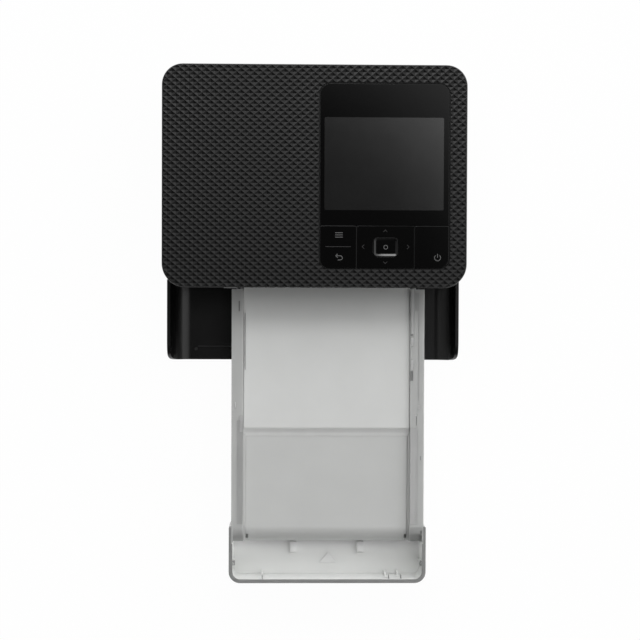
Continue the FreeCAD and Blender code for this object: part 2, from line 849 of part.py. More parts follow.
def make_front_frame():
    top = cover_top
    outer = box(-frame_half, frame_half, frame_front_y, side_front_y + frame_wall, floor_top, top)
    inner = box(-frame_half + frame_wall, frame_half - frame_wall, frame_front_y + frame_wall,
                side_front_y + frame_wall + overrun, floor_top - overrun, top + overrun)
    wings = [box(min(side * frame_half, side * inner_half), max(side * frame_half, side * inner_half),
                 side_front_y, side_front_y + frame_wall, floor_top, top) for side in (-1, 1)]
    lip = slot_box(-frame_wall, frame_front_y - slot_lip, frame_front_y + frame_wall)
    shape = join(outer.cut(inner), lip, *wings)
    shape = shape.cut(box(panel_left - slide_gap, panel_right + slide_gap, panel_front_y - slide_gap,
                          key_back_y, key_board_bottom - slide_gap, top + overrun))
    return shape.cut(slot_box(0, front_y, frame_front_y + frame_wall + overrun))


# Control panel and keys

def panel_block(inset, z0, z1):
    """The outline of the control panel, drawn in by an inset."""
    radius = panel_corner_radius - inset
    return rounded_block(panel_left + inset, panel_right - inset, panel_front_y + inset, panel_back_y - inset,
                         z0, z1, radius, radius)


def display_box(gap, z0, z1):
    """The display module with a gap round it."""
    x0 = panel_left + display_margin_x - gap
    x1 = panel_right - display_margin_x + gap
    y0 = window_front_y + display_front_inset - gap
    y1 = panel_back_y - display_back_inset + gap
    return box(x0, x1, y0, y1, z0, z1)


def key_stems():
    """Name, middle and depth offset of every stem under the keys."""
    menu_x = panel_left + menu_key_width / 2
    nav_reach = (nav_key_width + ok_key_width) / 4
    power_x = (power_left + panel_right) / 2
    depth = (key_back_y - panel_front_y) / 4
    return {
        "menu_back_key": [(menu_x, key_middle_y + depth), (menu_x, key_middle_y - depth)],
        "nav_key": [(nav_middle_x - nav_reach, key_middle_y + depth), (nav_middle_x + nav_reach, key_middle_y + depth),
                    (nav_middle_x - nav_reach, key_middle_y - depth),
                    (nav_middle_x + nav_reach, key_middle_y - depth)],
        "ok_key": [(nav_middle_x, key_middle_y)],
        "power_key": [(power_x, key_middle_y)],
    }


def key_stem_solids(name):
    """The stems of one key, down to just above the rubber mat."""
    return [post(key_stem_radius, x, y, mat_top + key_stem_gap, panel_top - key_wall)
            for x, y in key_stems()[name]]


def pivot_spans():
    """The stretches along X where the two rocking keys rest on the carrier."""
    menu_inset = menu_key_width * (1 - key_pivot_share) / 2
    side_room = (nav_key_width - ok_key_width) / 2 - ok_key_gap
    nav_inset = side_room * (1 - key_pivot_share) / 2
    return {
        "menu_back_key": [(panel_left + menu_inset, panel_left + menu_key_width - menu_inset)],
        "nav_key": [(nav_left + nav_inset, nav_left + side_room - nav_inset),
                    (nav_left + nav_key_width - side_room + nav_inset, nav_left + nav_key_width - nav_inset)],
    }


def key_pivots(name):
    """The round-bottomed ribs on which a rocking key turns."""
    pieces = []
    for x0, x1 in pivot_spans()[name]:
        pieces.append(rod(key_pivot_radius, x0, x1, key_middle_y, carrier_top))
        pieces.append(box(x0, x1, key_middle_y - key_pivot_radius, key_middle_y + key_pivot_radius,
                          carrier_top, panel_top - key_wall))
    return pieces


def key_plate(x0, x1):
    """A flat key that follows the panel's own outline."""
    plate = rounded_block(x0, x1, panel_front_y, key_back_y, panel_top - key_wall, panel_top,
                          key_corner_radius, key_corner_radius)
    return plate.common(panel_block(0, panel_top - key_wall, panel_top))


def ok_block(gap, z0, z1):
    """The outline of the OK key with a gap round it."""
    half_x = ok_key_width / 2 + gap
    half_y = ok_key_depth / 2 + gap
    radius = ok_key_radius + gap
    return rounded_block(nav_middle_x - half_x, nav_middle_x + half_x, key_middle_y - half_y,
                         key_middle_y + half_y, z0, z1, radius, radius)


def make_menu_back_key():
    return join(key_plate(panel_left, panel_left + menu_key_width), *key_stem_solids("menu_back_key"),
                *key_pivots("menu_back_key"))


def make_nav_key():
    shape = join(key_plate(nav_left, nav_left + nav_key_width), *key_stem_solids("nav_key"),
                 *key_pivots("nav_key"))
    return shape.cut(ok_block(ok_key_gap, carrier_top, body_height))


def make_ok_key():
    return join(ok_block(0, panel_top - key_wall, panel_top + ok_key_stand), *key_stem_solids("ok_key"))


def make_power_key():
    return join(key_plate(power_left, panel_right), *key_stem_solids("power_key"))


def make_control_panel():
    flange = panel_block(-panel_flange, carrier_bottom, carrier_top)
    island = panel_block(0, carrier_top, panel_top - window_wall)
    island = island.cut(box(panel_left - overrun, panel_right + overrun, panel_front_y - overrun,
                            window_front_y, carrier_top - overrun, body_height))
    shape = join(flange, island)
    shape = shape.cut(display_box(display_gap, carrier_bottom - overrun, body_height))
    for places in key_stems().values():
        for x, y in places:
            shape = shape.cut(post(key_stem_radius + key_stem_play, x, y, carrier_bottom - overrun,
                                   carrier_top + overrun))
    for spans in pivot_spans().values():
        for x0, x1 in spans:
            shape = shape.cut(rod(key_pivot_radius + shaft_play, x0 - slide_gap, x1 + slide_gap,
                                  key_middle_y, carrier_top))
    return shape


def make_display_window():
    return panel_block(0, panel_top - window_wall, panel_top).cut(
        box(panel_left - overrun, panel_right + overrun, panel_front_y - overrun, window_front_y,
            carrier_top, body_height))


def make_display_module():
    top = panel_top - window_wall - panel_sink
    return display_box(0, top - display_wall, top)


def key_zone(z0, z1):
    """The area under the keys, as wide as the carrier."""
    return box(panel_left, panel_right, panel_front_y, key_back_y, z0, z1)


def make_key_mat():
    return key_zone(key_board_top, mat_top)


def make_key_board():
    return key_zone(key_board_bottom, key_board_top)


# Boards and sockets

def make_main_board():
    x0, x1, y0, y1 = main_board_outline()
    z0 = floor_top + board_post_height
    z1 = z0 + board_wall
    rear_y = y1 - capacitor_rear_inset
    parts = [box(x0, x1, y0, y1, z0, z1)]
    chips = [(chip_place_share, chip_side)] + [(share, small_chip_side) for share in small_chip_place_shares]
    for share, side in chips:
        chip_x = x0 + (x1 - x0) * share
        chip_y = (y0 + y1) / 2
        parts.append(box(chip_x - side / 2, chip_x + side / 2, chip_y - side / 2, chip_y + side / 2,
                         z1, z1 + chip_height))
    for share in capacitor_place_shares:
        parts.append(post(capacitor_radius, x0 + (x1 - x0) * share, rear_y, z1, z1 + capacitor_height))
    for share in connector_place_shares:
        connector_x = x0 + (x1 - x0) * share
        parts.append(box(connector_x - connector_length / 2, connector_x + connector_length / 2,
                         y0 + board_margin, y0 + board_margin + connector_width, z1, z1 + connector_height))
    return join(*parts)


def make_port_board():
    x0, x1, y0, y1 = port_board_outline()
    z0 = floor_top + board_post_height
    z1 = z0 + board_wall
    connector_y = y1 - board_margin - connector_length
    return join(box(x0, x1, y0, y1, z0, z1),
                box(x1 - board_margin - connector_width, x1 - board_margin, connector_y,
                    connector_y + connector_length, z1, z1 + connector_height))


def make_usb_port():
    x0 = -half_width + case_wall / 2
    x1 = x0 + usb_depth
    shell = usb_box(0, x0, x1).cut(usb_box(usb_wall, x0 - overrun, x1 - usb_tongue))
    middle_z = floor_top + board_post_height + board_wall + usb_height / 2
    y0 = front_y + usb_front_inset
    tongue = box(x0 + usb_tongue, x1, y0 + usb_width / 4, y0 + usb_width - usb_width / 4,
                 middle_z - usb_tongue / 2, middle_z + usb_tongue / 2)
    return join(shell, tongue)


def make_card_socket():
    x0 = -inner_half
    x1 = x0 + card_socket_depth
    y0 = front_y + card_front_inset
    shell = box(x0, x1, y0, y0 + card_socket_width, card_socket_z, card_socket_z + card_socket_height)
    slot_y = y0 + (card_socket_width - card_slot_width) / 2
    slot_z = card_socket_z + (card_socket_height - card_slot_height) / 2
    return shell.cut(box(x0 - overrun, x1 - case_wall, slot_y, slot_y + card_slot_width,
                         slot_z, slot_z + card_slot_height))


def make_dc_inlet():
    back = back_y - case_wall
    block = box(inlet_x - inlet_width / 2, inlet_x + inlet_width / 2, back - inlet_depth, back,
                inlet_z - inlet_width / 2, inlet_z + inlet_width / 2)
    floor_y = back - inlet_depth + case_wall
    block = block.cut(rod_y(inlet_bore_radius, inlet_x, floor_y, back + overrun, inlet_z))
    return join(block, rod_y(inlet_pin_radius, inlet_x, floor_y - overrun, back, inlet_z))


# Side plates, guides and bushes

def bushed_shafts():
    """The three driven shafts that turn in bushes."""
    return [(capstan_y, capstan_z), (platen_y, platen_z), (pickup_y, pickup_z)]


def plate_blank(x0, x1):
    """The outline that both side plates share, with its shaft holes."""
    y0 = front_y + side_plate_front_inset
    y1 = back_y - side_plate_rear_inset
    z1 = arm_top
    points = [(y0, floor_top), (y1, floor_top), (y1, z1), (y0 + side_plate_slope * 2, z1),
              (y0, z1 - side_plate_slope)]
    shape = side_profile(points, x0, x1)
    for y, z in bushed_shafts():
        shape = shape.cut(rod(bush_radius, x0 - overrun, x1 + overrun, y, z))
    shape = shape.cut(rod(pinch_shaft_radius + shaft_play, x0 - overrun, x1 + overrun, capstan_y, pinch_z))
    return shape.cut(rod(arm_pivot_radius, x0 - overrun, x1 + overrun, arm_pivot_y, arm_pivot_z))


def make_left_side_plate():
    shape = plate_blank(plate_left_outer, plate_left_inner)
    shape = shape.cut(rod(roller_shaft_radius + shaft_play, plate_left_outer - overrun,
                          plate_left_inner + overrun, takeup_y, takeup_z))
    stud = rod(gear_stud_radius, bracket_right, plate_left_inner, reduction_y, reduction_z)
    flange_y = front_y + plate_flange_inset
    flange = box(plate_left_outer - plate_flange_width, plate_left_outer, flange_y,
                 flange_y + plate_flange_length, floor_top, floor_top + side_plate_wall)
    return join(shape, flange, stud)


def ink_window(x0, x1):
    """The window through which the ink cassette is pushed in."""
    z0 = path_height + ink_path_gap - ink_window_gap
    return box(x0, x1, takeup_y - takeup_shell_radius - ink_window_gap,
               supply_y + supply_shell_radius + ink_window_gap,
               z0, supply_z + supply_shell_radius + ink_window_gap)


def make_right_side_plate():
    shape = plate_blank(plate_right_inner, plate_right_outer)
    shape = shape.cut(ink_window(plate_right_inner - overrun, plate_right_outer + overrun))
    flange_y = front_y + plate_flange_inset
    flange = box(plate_right_outer, plate_right_outer + plate_flange_width, flange_y,
                 flange_y + plate_flange_length, floor_top, floor_top + side_plate_wall)
    stud = rod(latch_post_radius, plate_right_inner, latch_post_right, latch_y, latch_height)
    return join(shape, flange, stud)


def make_roller_bushes():
    pieces = []
    for y, z in bushed_shafts():
        for inner_x, outer_x, side in ((plate_left_inner, plate_left_outer, 1),
                                       (plate_right_inner, plate_right_outer, -1)):
            flange_x = inner_x + side * bush_flange_wall
            sleeve = rod(bush_radius, min(inner_x, outer_x), max(inner_x, outer_x), y, z)
            flange = rod(bush_radius + bush_flange, min(inner_x, flange_x), max(inner_x, flange_x), y, z)
            bore = rod(roller_shaft_radius + shaft_play, min(outer_x, flange_x) - overrun,
                       max(outer_x, flange_x) + overrun, y, z)
            pieces.append(join(sleeve, flange).cut(bore))
    return pieces


def make_pinch_springs():
    """Two leaf springs that press on the pinch roller's shaft, each with its free end curled up."""
    z0 = pinch_z + pinch_shaft_radius + shaft_play
    z1 = z0 + pinch_spring_wall
    y0 = capstan_y - pinch_spring_length / 2
    y1 = y0 + pinch_spring_length
    points = [(y0, z0 + pinch_spring_curl), (y0 + pinch_spring_curl, z0), (y1, z0), (y1, z1),
              (y0 + pinch_spring_curl, z1), (y0, z1 + pinch_spring_curl)]
    return [side_profile(points, plate_left_inner, plate_left_inner + pinch_spring_width),
            side_profile(points, plate_right_inner - pinch_spring_width, plate_right_inner)]


def make_nose_tray():
    z1 = cassette_floor_z - nose_tray_gap
    z0 = z1 - nose_tray_wall
    y0 = frame_front_y + frame_wall + guide_front_gap
    stop_y = nose_end_y + slide_gap
    floor = box(plate_left_inner, plate_right_inner, y0, stop_y + nose_tray_wall, z0, z1)
    stop = box(nose_left, nose_right, stop_y, stop_y + nose_tray_wall, z1, z1 + nose_stop_height)
    cheeks = [box(nose_left - slide_gap - nose_tray_wall, nose_left - slide_gap,
                  front_y + side_plate_front_inset, stop_y, z1, z1 + nose_stop_height),
              box(nose_right + slide_gap, nose_right + slide_gap + nose_tray_wall,
                  front_y + side_plate_front_inset, stop_y, z1, z1 + nose_stop_height)]
    return join(floor, stop, *cheeks)


def make_paper_guide():
    z1 = path_height - guide_drop
    z0 = z1 - guide_wall
    y0 = capstan_y + bush_radius + bush_flange + slide_gap
    shape = box(plate_left_inner, plate_right_inner, y0, back_y - case_wall - guide_rear_gap, z0, z1)
    half_slot = math.sqrt(platen_radius ** 2 - (z0 - platen_z) ** 2) + guide_slot_gap
    shape = shape.cut(box(plate_left_inner - overrun, plate_right_inner + overrun, platen_y - half_slot,
                          platen_y + half_slot, z0 - overrun, z1 + overrun))
    bridges = [box(x - guide_rib_height, x, platen_y - half_slot, platen_y + half_slot, z0, z1)
               for x in (plate_left_inner + guide_rib_height, plate_right_inner)]
    ribs = []
    for share in guide_rib_place_shares:
        x = plate_left_inner + (plate_right_inner - plate_left_inner) * share
        ribs.append(box(x - guide_wall / 2, x + guide_wall / 2, platen_y + platen_radius + guide_slot_gap,
                        back_y - case_wall - guide_rear_gap, z0 - guide_rib_height, z0))
    return join(shape, *bridges, *ribs)


# Rollers

def tyre_spans():
    """The two stretches along the pickup shaft that carry tyres."""
    return [(cassette_centre_x + side * pickup_tyre_spread / 2 - pickup_tyre_width / 2,
             cassette_centre_x + side * pickup_tyre_spread / 2 + pickup_tyre_width / 2) for side in (-1, 1)]


def make_pickup_shaft():
    shaft = rod(roller_shaft_radius, gear_left, shaft_right, pickup_y, pickup_z)
    return join(shaft, *[rod(pickup_core_radius, x0, x1, pickup_y, pickup_z) for x0, x1 in tyre_spans()])


def make_pickup_tyres():
    return [tube(pickup_radius, pickup_core_radius, x0, x1, pickup_y, pickup_z) for x0, x1 in tyre_spans()]


def make_capstan_roller():
    return join(rod(roller_shaft_radius, gear_left, shaft_right, capstan_y, capstan_z),
                rod(capstan_radius, roller_left, roller_right, capstan_y, capstan_z))


def make_platen_shaft():
    return rod(roller_shaft_radius, plate_left_outer - shaft_overhang, shaft_right, platen_y, platen_z)


def make_platen_sleeve():
    return tube(platen_radius, roller_shaft_radius, roller_left, roller_right, platen_y, platen_z)


def make_pinch_roller():
    return join(rod(pinch_shaft_radius, plate_left_outer, plate_right_outer, capstan_y, pinch_z),
                rod(pinch_radius, roller_left, roller_right, capstan_y, pinch_z))


# Gears and motors

capstan_phase = 0.0
pickup_phase = meshing_phase(capstan_phase, capstan_teeth, pickup_teeth, capstan_y, capstan_z, pickup_y, pickup_z)
reduction_phase = meshing_phase(capstan_phase, capstan_teeth, reduction_small_teeth, capstan_y, capstan_z,
                                reduction_y, reduction_z)
feed_pinion_phase = meshing_phase(reduction_phase, reduction_big_teeth, pinion_teeth, reduction_y, reduction_z,
                                  feed_motor_y, feed_motor_z)
ribbon_pinion_phase = meshing_phase(capstan_phase, takeup_teeth, pinion_teeth, takeup_y, takeup_z,
                                    ribbon_motor_y, ribbon_motor_z)


def make_capstan_gear():
    return gear(capstan_teeth, gear_left, gear_right, capstan_y, capstan_z, roller_shaft_radius, capstan_phase)


def make_pickup_gear():
    return gear(pickup_teeth, gear_left, gear_right, pickup_y, pickup_z, roller_shaft_radius, pickup_phase)


def make_reduction_gear():
    big = gear(reduction_big_teeth, big_gear_left, big_gear_right, reduction_y, reduction_z, 0, reduction_phase)
    small = gear(reduction_small_teeth, big_gear_right, gear_right, reduction_y, reduction_z, 0, reduction_phase)
    bore = rod(gear_stud_radius + shaft_play, big_gear_left - overrun, gear_right + overrun,
               reduction_y, reduction_z)
    return join(big, small).cut(bore)


def make_gear_bracket():
    y0 = ribbon_motor_y - ribbon_motor_radius - bracket_margin
    y1 = feed_motor_y + feed_motor_radius + bracket_margin
    z0 = reduction_z - reduction_big_teeth * gear_module / 2 + bracket_margin
    z1 = ribbon_motor_z + bracket_margin
    shape = box(bracket_left, bracket_right, y0, y1, z0, z1)
    posts = [(y1 - bracket_margin, z0 + bracket_margin), (y1 - bracket_margin, z1 - bracket_margin)]
    shape = join(shape, *[rod(bracket_post_radius, bracket_right, plate_left_outer, y, z) for y, z in posts])
    foot = box(bracket_right, bracket_right + bracket_foot, y1 - bracket_foot_width, y1, z0,
               z0 + bracket_wall)
    shape = join(shape, foot)
    for y, z in ((feed_motor_y, feed_motor_z), (ribbon_motor_y, ribbon_motor_z)):
        shape = shape.cut(rod(motor_shaft_radius * 2, bracket_left - overrun, bracket_right + overrun, y, z))
    return shape


def motor(radius, y, z):
    """A small motor with flats above and below, an end cap and two tabs."""
    x1 = bracket_left
    x0 = x1 - motor_length
    half_flat = radius * motor_flat_share
    can = rod(radius, x0, x1, y, z).common(box(x0, x1, y - radius, y + radius, z - half_flat, z + half_flat))
    cap = rod(radius / 2, x0 - motor_cap_wall, x0, y, z)
    tabs = [box(x0 - motor_tab_length, x0, y + side * radius * motor_flat_share - motor_tab_width / 2,
                y + side * radius * motor_flat_share + motor_tab_width / 2, z - motor_tab_wall / 2,
                z + motor_tab_wall / 2) for side in (-1, 1)]
    bore = rod(motor_shaft_radius + shaft_play, x1 - motor_shaft_depth - slide_gap, x1 + overrun, y, z)
    return join(can, cap, *tabs).cut(bore)


def pinion(x0, x1, y, z, phase):
    """A pinion on its motor shaft."""
    shaft = rod(motor_shaft_radius, bracket_left - motor_shaft_depth, x0, y, z)
    return join(gear(pinion_teeth, x0, x1, y, z, 0, phase), shaft)


def make_feed_motor():
    return motor(feed_motor_radius, feed_motor_y, feed_motor_z)


def make_ribbon_motor():
    return motor(ribbon_motor_radius, ribbon_motor_y, ribbon_motor_z)


def make_feed_pinion():
    return pinion(big_gear_left, big_gear_right, feed_motor_y, feed_motor_z, feed_pinion_phase)


def make_ribbon_pinion():
    return pinion(gear_left, gear_right, ribbon_motor_y, ribbon_motor_z, ribbon_pinion_phase)


# Ink cassette, door and latch

def ink_half(y, z, radius, slit_side):
    """One of the two tubes of the ink cassette, slit along its underside."""
    shape = tube(radius, radius - ink_shell_wall, ink_left, ink_right, y, z)
    slit = box(ink_left + ink_end_wall, ink_right - ink_end_wall, min(y, y + slit_side * ink_slit_width),
               max(y, y + slit_side * ink_slit_width), z - radius - overrun,
               z - radius + ink_shell_wall + ink_slit_height)
    return shape.cut(slit)


def make_ink_cassette():
    pieces = [ink_half(takeup_y, takeup_z, takeup_shell_radius, 1),
              ink_half(supply_y, supply_z, supply_shell_radius, -1)]
    for x0 in (ink_left, ink_right - ink_end_wall):
        x1 = x0 + ink_end_wall
        pieces.append(rod(takeup_shell_radius, x0, x1, takeup_y, takeup_z))
        pieces.append(rod(supply_shell_radius, x0, x1, supply_y, supply_z))
        pieces.append(box(x0, x1, takeup_y, supply_y, path_height + ink_path_gap, takeup_z))
    middle_y = (takeup_y + supply_y) / 2
    handle = box(ink_right, ink_right + ink_handle_length, middle_y - ink_handle_width / 2,
                 middle_y + ink_handle_width / 2, path_height + ink_path_gap + ink_handle_wall,
                 path_height + ink_path_gap + ink_handle_wall + ink_handle_height)
    hollow = box(ink_right, ink_right + ink_handle_length + overrun,
                 middle_y - ink_handle_width / 2 + ink_handle_wall,
                 middle_y + ink_handle_width / 2 - ink_handle_wall,
                 path_height + ink_path_gap + ink_handle_wall * 2,
                 path_height + ink_path_gap + ink_handle_height)
    shape = join(*pieces, handle.cut(hollow))
    for y, z in ((takeup_y, takeup_z), (supply_y, supply_z)):
        shape = shape.cut(rod(spool_journal_radius + shaft_play, ink_left - overrun, ink_right, y, z))
    return shape


def spool(y, z):
    """A core with a journal at each end."""
    journal_left = ink_left
    journal_right = ink_right - slide_gap
    return join(rod(spool_journal_radius, journal_left, journal_right, y, z),
                rod(spool_core_radius, spool_left, spool_right, y, z))


def make_takeup_spool():
    half = coupler_key_side / 2 + coupler_key_play
    socket_end = ink_left + coupler_key_length + coupler_key_play
    return spool(takeup_y, takeup_z).cut(box(ink_left - overrun, socket_end, takeup_y - half, takeup_y + half,
                                             takeup_z - half, takeup_z + half))


def make_supply_spool():
    return spool(supply_y, supply_z)


def ribbon_roll(radius, y, z):
    """The ribbon wound on a core."""
    return tube(radius, spool_core_radius, spool_left + slide_gap, spool_right - slide_gap, y, z)


def make_takeup_ribbon():
    return ribbon_roll(takeup_roll_radius, takeup_y, takeup_z)


def make_supply_ribbon():
    return ribbon_roll(supply_roll_radius, supply_y, supply_z)


def make_ribbon_film():
    """The stretch of ribbon between the rolls, under the thermal head."""
    left_y = takeup_y + slide_gap
    right_y = supply_y - slide_gap
    points = [(left_y, film_z + film_rise), (left_y + film_run, film_z), (right_y - film_run, film_z),
              (right_y, film_z + film_rise)]
    upper = [(y, z + film_thickness) for y, z in reversed(points)]
    return side_profile(points + upper, spool_left + slide_gap, spool_right - slide_gap)


def make_takeup_coupler():
    flange_left = plate_left_inner + shaft_play
    flange_right = flange_left + bush_flange_wall
    half = coupler_key_side / 2
    key = box(flange_right, ink_left + coupler_key_length, takeup_y - half, takeup_y + half,
              takeup_z - half, takeup_z + half)
    return join(rod(roller_shaft_radius, gear_right, flange_left, takeup_y, takeup_z),
                rod(coupler_flange_radius, flange_left, flange_right, takeup_y, takeup_z), key,
                gear(takeup_teeth, gear_left, gear_right, takeup_y, takeup_z, 0, capstan_phase))


def make_ink_door():
    panel = box(inner_half, half_width, door_front_y, door_back_y, door_hinge_z, door_top)
    knuckle = rod_y(door_knuckle_radius, door_hinge_x, door_front_y, door_back_y, door_hinge_z)
    ribs = []
    for share in door_rib_place_shares:
        rib_y = door_front_y + door_length * share
        ribs.append(box(inner_half - door_rib_height, inner_half, rib_y - door_rib_width / 2,
                        rib_y + door_rib_width / 2, door_hinge_z + door_knuckle_radius * 2,
                        door_top - door_rib_width * 2))
    shape = join(panel, knuckle, *ribs)
    grip = Part.makeCylinder(door_grip_radius, door_grip_depth + overrun,
                             FreeCAD.Vector(half_width - door_grip_depth, (door_front_y + door_back_y) / 2,
                                            door_top), FreeCAD.Vector(1, 0, 0))
    shape = shape.cut(grip)
    for y0, y1 in ((door_front_y - overrun, door_front_y + door_pin_reach + slide_gap),
                   (door_back_y - door_pin_reach - slide_gap, door_back_y + overrun)):
        shape = shape.cut(rod_y(door_pin_radius + shaft_play, door_hinge_x, y0, y1, door_hinge_z))
    return shape


def make_ink_latch():
    x1 = latch_post_right
    x0 = x1 - latch_lever_wall
    tip_y = latch_y - latch_lever_reach
    half = latch_lever_width / 2
    lever = join(box(x0, x1, tip_y, latch_y, latch_height - half, latch_height + half),
                 rod(half + arm_lug_wall, x0, x1, latch_y, latch_height),
                 box(x0, x1 + latch_tab_length, tip_y, tip_y + latch_lever_wall, latch_height - half,
                     latch_height + half))
    return lever.cut(rod(latch_post_radius + shaft_play, x0 - overrun, x1 + overrun, latch_y, latch_height))


# Thermal head

def make_thermal_head():
    y0 = platen_y - head_depth / 2
    y1 = platen_y + head_depth / 2
    strip_z = head_bottom + head_line_radius
    bar_z = strip_z + head_strip_height
    bar = box(head_left, head_right, y0, y1, bar_z, bar_z + head_bar_height)
    strip = box(head_left, head_right, y0 + head_depth / 4, y1 - head_depth / 4, strip_z, bar_z)
    line = rod(head_line_radius, head_left, head_right, platen_y, strip_z)
    grooves = [box(head_left - overrun, head_right + overrun, y, y + head_plate_wall,
                   bar_z + head_bar_height / 2, bar_z + head_bar_height + overrun)
               for y in (y0 + head_depth * share for share in head_groove_place_shares)]
    shape = join(bar, strip, line)
    for groove in grooves:
        shape = shape.cut(groove)
    return shape


def make_head_arm():
    bar_top = head_bottom + head_line_radius + head_strip_height + head_bar_height
    y0 = platen_y - head_depth / 2 - head_plate_wall
    mount = box(head_left, head_right, y0, platen_y + head_depth / 2, bar_top, bar_top + head_plate_wall)
    web = box(head_left, head_right, y0, y0 + head_plate_wall, bar_top, arm_top)
    top = box(head_left, head_right, y0, arm_pivot_y, arm_bottom, arm_top)
    span = arm_pivot_y - y0
    window_half = head_width * arm_window_share / 2
    for share in arm_window_place_shares:
        window_x = head_left + head_width * share
        window_y = y0 + span * arm_window_depth_share
        top = top.cut(box(window_x - window_half, window_x + window_half, window_y - span / 4,
                          window_y + span / 4, arm_bottom - overrun, arm_top + overrun))
    lug_outer = arm_pivot_radius + shaft_play + arm_lug_wall
    lugs = []
    for x0 in (head_left, head_right - arm_lug_width):
        lugs.append(rod(lug_outer, x0, x0 + arm_lug_width, arm_pivot_y, arm_pivot_z))
    shape = join(mount, web, top, *lugs)
    return shape.cut(rod(arm_pivot_radius + shaft_play, head_left - overrun, head_right + overrun,
                         arm_pivot_y, arm_pivot_z))


def make_arm_pivot_rod():
    return rod(arm_pivot_radius, plate_left_outer, plate_right_outer, arm_pivot_y, arm_pivot_z)


# Paper cassette

def curl_cut(radius, top, x0, x1, front):
    """What is taken away to round the far upper edge of something that ends at y = front."""
    corner = box(x0, x1, front - overrun, front + radius, top - radius, top + overrun)
    return corner.cut(rod(radius, x0 - overrun, x1 + overrun, front + radius, top - radius))


def make_cassette_base():
    rail_end_y = tray_back_y - rail_end_radius
    floor = box(cassette_left, cassette_right, rail_end_y, rail_front_y, cassette_floor_z, cassette_floor_top)
    shape = floor
    for x0, x1 in ((cassette_left, channel_left), (channel_right, cassette_right)):
        blank = box(x0, x1, rail_end_y, rail_front_y, cassette_floor_z, rail_top)
        blank = blank.cut(curl_cut(rail_end_radius, rail_top, x0 - overrun, x1 + overrun, rail_end_y))
        hollow = box(x0 + rail_wall, x1 - rail_wall, rail_end_y - overrun, rail_front_y - rail_wall,
                     cassette_floor_top, rail_top - rail_wall)
        hollow = hollow.cut(curl_cut(rail_end_radius, rail_top - rail_wall, x0, x1, rail_end_y + rail_wall))
        shape = shape.fuse(blank.cut(hollow))
    nose = box(nose_left, nose_right, rail_front_y - rail_wall, nose_end_y, cassette_floor_z,
               cassette_floor_z + nose_wall_height)
    nose = nose.cut(box(nose_left + cassette_wall, nose_right - cassette_wall, rail_front_y - rail_wall - overrun,
                        nose_end_y + overrun, cassette_floor_top, rail_top))
    nose_end = box(nose_left, nose_right, nose_end_y - cassette_wall, nose_end_y, cassette_floor_z,
                   cassette_floor_z + nose_end_height)
    ledges = []
    for wall_x, side in ((channel_left, 1), (channel_right, -1)):
        for width, y0, top in ((ledge_width, inner_cover_front_y, inner_cover_bottom),
                               (lower_ledge_width, tray_back_y, lower_ledge_top)):
            reach = sorted((wall_x - side * rail_wall / 2, wall_x + side * width))
            ledges.append(box(reach[0], reach[1], y0, rail_front_y, top - ledge_wall, top))
    shape = join(shape, nose, nose_end, *ledges, *end_tray())
    for x0, x1 in ((channel_left - rail_wall, channel_left), (channel_right, channel_right + rail_wall)):
        shape = shape.cut(rod(lift_pin_radius + shaft_play, x0 - overrun, x1 + overrun, lift_hinge_y,
                              lift_hinge_z))
    return shape


def end_tray():
    """The open tray at the far end, with its nubs and ribs."""
    x0 = cassette_left - tray_widening
    x1 = cassette_right + tray_widening
    outer = rounded_block(x0, x1, cassette_end_y, tray_back_y, cassette_floor_z, rail_top,
                          tray_corner_radius, tray_wall / 2)
    inner = rounded_block(x0 + tray_wall, x1 - tray_wall, cassette_end_y + tray_wall, tray_back_y + tray_wall,
                          cassette_floor_top, rail_top + overrun, tray_corner_radius - tray_wall, 0)
    room = outer.cut(inner)
    pieces = [room]
    for side in (-1, 1):
        x = cassette_centre_x + side * tray_nub_spread / 2
        y = cassette_end_y + tray_nub_place
        pieces.append(box(x - tray_nub_width / 2, x + tray_nub_width / 2, y, y + tray_nub_length,
                          cassette_floor_top, cassette_floor_top + tray_nub_height))
    near_y = cassette_end_y + tray_rib_place
    far_y = cassette_end_y + tray_far_rib_place
    for x, y in ((x0 + tray_wall, near_y), (x1 - tray_wall, near_y), (x1 - tray_wall, far_y)):
        pieces.append(post(tray_rib_radius, x, y, cassette_floor_top, rail_top - tray_rib_radius))
    for place in tray_tick_places:
        x = cassette_centre_x + place
        pieces.append(box(x - tray_tick_wall / 2, x + tray_tick_wall / 2, cassette_end_y + tray_wall / 2,
                          cassette_end_y + tray_wall + tray_tick_length, cassette_floor_top,
                          cassette_floor_top + tray_tick_height))
    return pieces


def make_inner_cover():
    x0 = channel_left + plate_gap / 2
    x1 = channel_right - plate_gap / 2
    shape = box(x0, x1, inner_cover_front_y, front_y + inner_cover_tail, inner_cover_bottom, inner_cover_top)
    return shape.cut(curl_cut(inner_cover_edge_radius, inner_cover_top, x0 - overrun, x1 + overrun,
                              inner_cover_front_y))


def make_outer_cover():
    """A sliding plate whose far end curls down to the tray floor."""
    x0 = channel_left + ledge_width + plate_gap
    x1 = channel_right - ledge_width - plate_gap
    end_y = tray_back_y - outer_cover_curl_radius
    back = inner_cover_front_y + outer_cover_overlap
    low_z = lift_top + paper_thickness + outer_cover_curl_gap
    blank = box(x0, x1, end_y, back, low_z, outer_cover_top)
    for step_x in (x0, x1 - outer_cover_side_step):
        blank = blank.cut(box(step_x, step_x + outer_cover_side_step, end_y - overrun, back + overrun,
                              low_z - overrun, outer_cover_bottom))
    blank = blank.cut(curl_cut(outer_cover_curl_radius, outer_cover_top, x0 - overrun, x1 + overrun, end_y))
    hollow = box(x0 - overrun, x1 + overrun, end_y + outer_cover_wall, back + overrun, low_z - overrun,
                 outer_cover_bottom)
    hollow = hollow.cut(curl_cut(outer_cover_curl_radius - outer_cover_wall, outer_cover_bottom,
                                 x0 - overrun * 2, x1 + overrun * 2, end_y + outer_cover_wall))
    return blank.cut(hollow)


